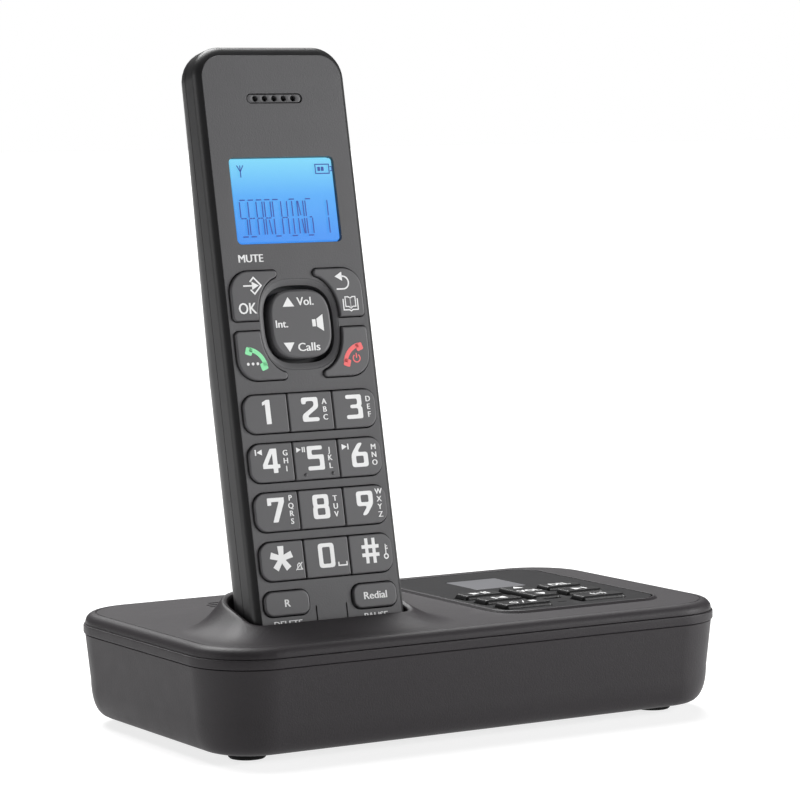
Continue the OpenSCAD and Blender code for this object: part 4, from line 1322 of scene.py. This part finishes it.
def page_sign(x, y):
    waves = [lathe_data([(0.5, -SUNK), (0.5, INK)], x, y, 20)]
    for r in (1.3, 2.2):
        waves += [line(arc(x, y, r, start, start + 90, 10), 0.36) for start in (-45, 135)]
    return waves


def power_stop_sign(x, y):
    power = [line(arc(x - 3.2, y, 1.15, 125, 415, 20), 0.38), bar(x - 3.39, x - 3.01, y + 0.1, y + 1.6)]
    slash = line([(x - 0.9, y - 1.5), (x + 0.7, y + 1.5)], 0.32)
    return power + [slash, bar(x + 2.1, x + 4.1, y - 1.0, y + 1.0)]


def volume_sign(x, y):
    arrows = [triangle(x, y + 7.0, 3.4, 2.9), triangle(x, y - 7.0, 3.4, -2.9)]
    return arrows + [words("VOL", 3.0, x, y, 0.2, 0.85)]


def base_legends():
    signs = (
        lambda x, y: play_sign(x, y, 1.8),
        lambda x, y: skip_sign(x, y, 1.8, -1),
        power_stop_sign,
        lambda x, y: [words("DEL", 3.1, x, y, 0.2, 0.85)],
        lambda x, y: skip_sign(x, y, 1.8, 1),
        page_sign,
        volume_sign,
    )
    names = "play previous power delete next page volume".split()
    for node, name, sign in zip(BASE_KEYS, names, signs):
        x0, x1, y0, y1 = top_face(node, IN_BASE)
        parts = sign((x0 + x1) / 2, (y0 + y1) / 2)
        legend("base_%s_legend" % name, parts, base_body(node), base_key_high.z, slot="base_key_plastic")


def line_contacts():
    """Four sprung gold wires in the line socket."""
    parts = []
    for i in range(4):
        x = LINE_X + 1.02 * (i - 1.5)
        high, low = (x, line_high.y - 2.5, JACK_Z + 3.4), (x, line_high.y - 10.5, JACK_Z - 1.2)
        parts.append(rod_data(high, low, 0.22, 10))
    piece = solid("base_line_contacts", *joined(parts))
    dress(piece, "base", "contact_metal")


control_panel()
base_keys()
base_legends()
line_contacts()

# --- stage: camera, floor, light ---

scene = bpy.context.scene
scene.view_settings.view_transform = "Standard"


def camera():
    """A long lens from the front left, as high as the upper keys and looking a little down."""
    azimuth, elevation, roll = math.radians(-31.05), math.radians(5.0), math.radians(-0.53)
    distance, aside, below = 0.9688, 0.00048, -0.09118
    level_part = math.cos(elevation)
    back = Vector((math.sin(azimuth) * level_part, -math.cos(azimuth) * level_part, math.sin(elevation)))
    right = (-back).cross(Vector((0, 0, 1))).normalized()
    up = right.cross(-back)
    turned_right = right * math.cos(roll) + up * math.sin(roll)
    turned_up = up * math.cos(roll) - right * math.sin(roll)
    data = bpy.data.cameras.new("camera")
    data.sensor_width = 36.0
    data.lens = 150.25
    data.clip_start, data.clip_end = 0.05, 60.0
    holder = new_object("camera", data)
    place = back * distance - turned_right * aside - turned_up * below
    holder.matrix_world = placed(turned_right, turned_up, back, place)
    scene.camera = holder


def floor():
    mesh = bpy.data.meshes.new("floor")
    half = 12.0
    mesh.from_pydata(level(rectangle(-half, half, -half, half), 0), [], [(0, 1, 2, 3)])
    piece = new_object("floor", mesh)
    material, shader = surface("pale_floor", (0.3, 0.3, 0.3), 0.6, 1.5, 0.01, 0.01)
    emit(material, shader, (1, 1, 1, 1), 0.78)
    mesh.materials.append(material)


def lamp(name, data, facing, place=(0, 0, 0)):
    holder = new_object(name, data)
    holder.location = place
    holder.rotation_euler = Vector(facing).to_track_quat("-Z", "Y").to_euler()


def softbox(name, place, width, height, power):
    """A rectangular area light that faces the middle of the object."""
    data = bpy.data.lights.new(name, "AREA")
    data.shape = "RECTANGLE"
    data.size, data.size_y = width, height
    data.energy = power
    lamp(name, data, Vector((0, 0, 0.08)) - Vector(place), place)


def light():
    """Soft light from above and from both sides, before a white backdrop."""
    world = bpy.data.worlds.new("studio")
    scene.world = world
    world.use_nodes = True
    nodes = world.node_tree.nodes
    sky = nodes["Background"]
    sky.inputs["Color"].default_value = (1, 1, 1, 1)
    sky.inputs["Strength"].default_value = 0.07
    white = add_node(world, "Background", Color=(1, 1, 1, 1))
    mix = add_node(world, "MixShader", Fac=add_node(world, "LightPath").outputs["Is Camera Ray"])
    for socket, shader in zip(mix.inputs[1:3], (sky, white)):
        feed(world, socket, shader.outputs["Background"])
    feed(world, nodes["World Output"].inputs["Surface"], mix.outputs["Shader"])
    sun = bpy.data.lights.new("overhead", "SUN")
    sun.energy = 6.2
    sun.angle = math.radians(45)
    lamp("overhead", sun, (-0.1, -0.5, -0.85))
    softbox("left_softbox", (-1.25, 0.3, 0.3), 0.7, 0.7, 4.4)
    softbox("front_softbox", (1.4, -0.95, 0.5), 0.9, 0.7, 30)


camera()
floor()
light()
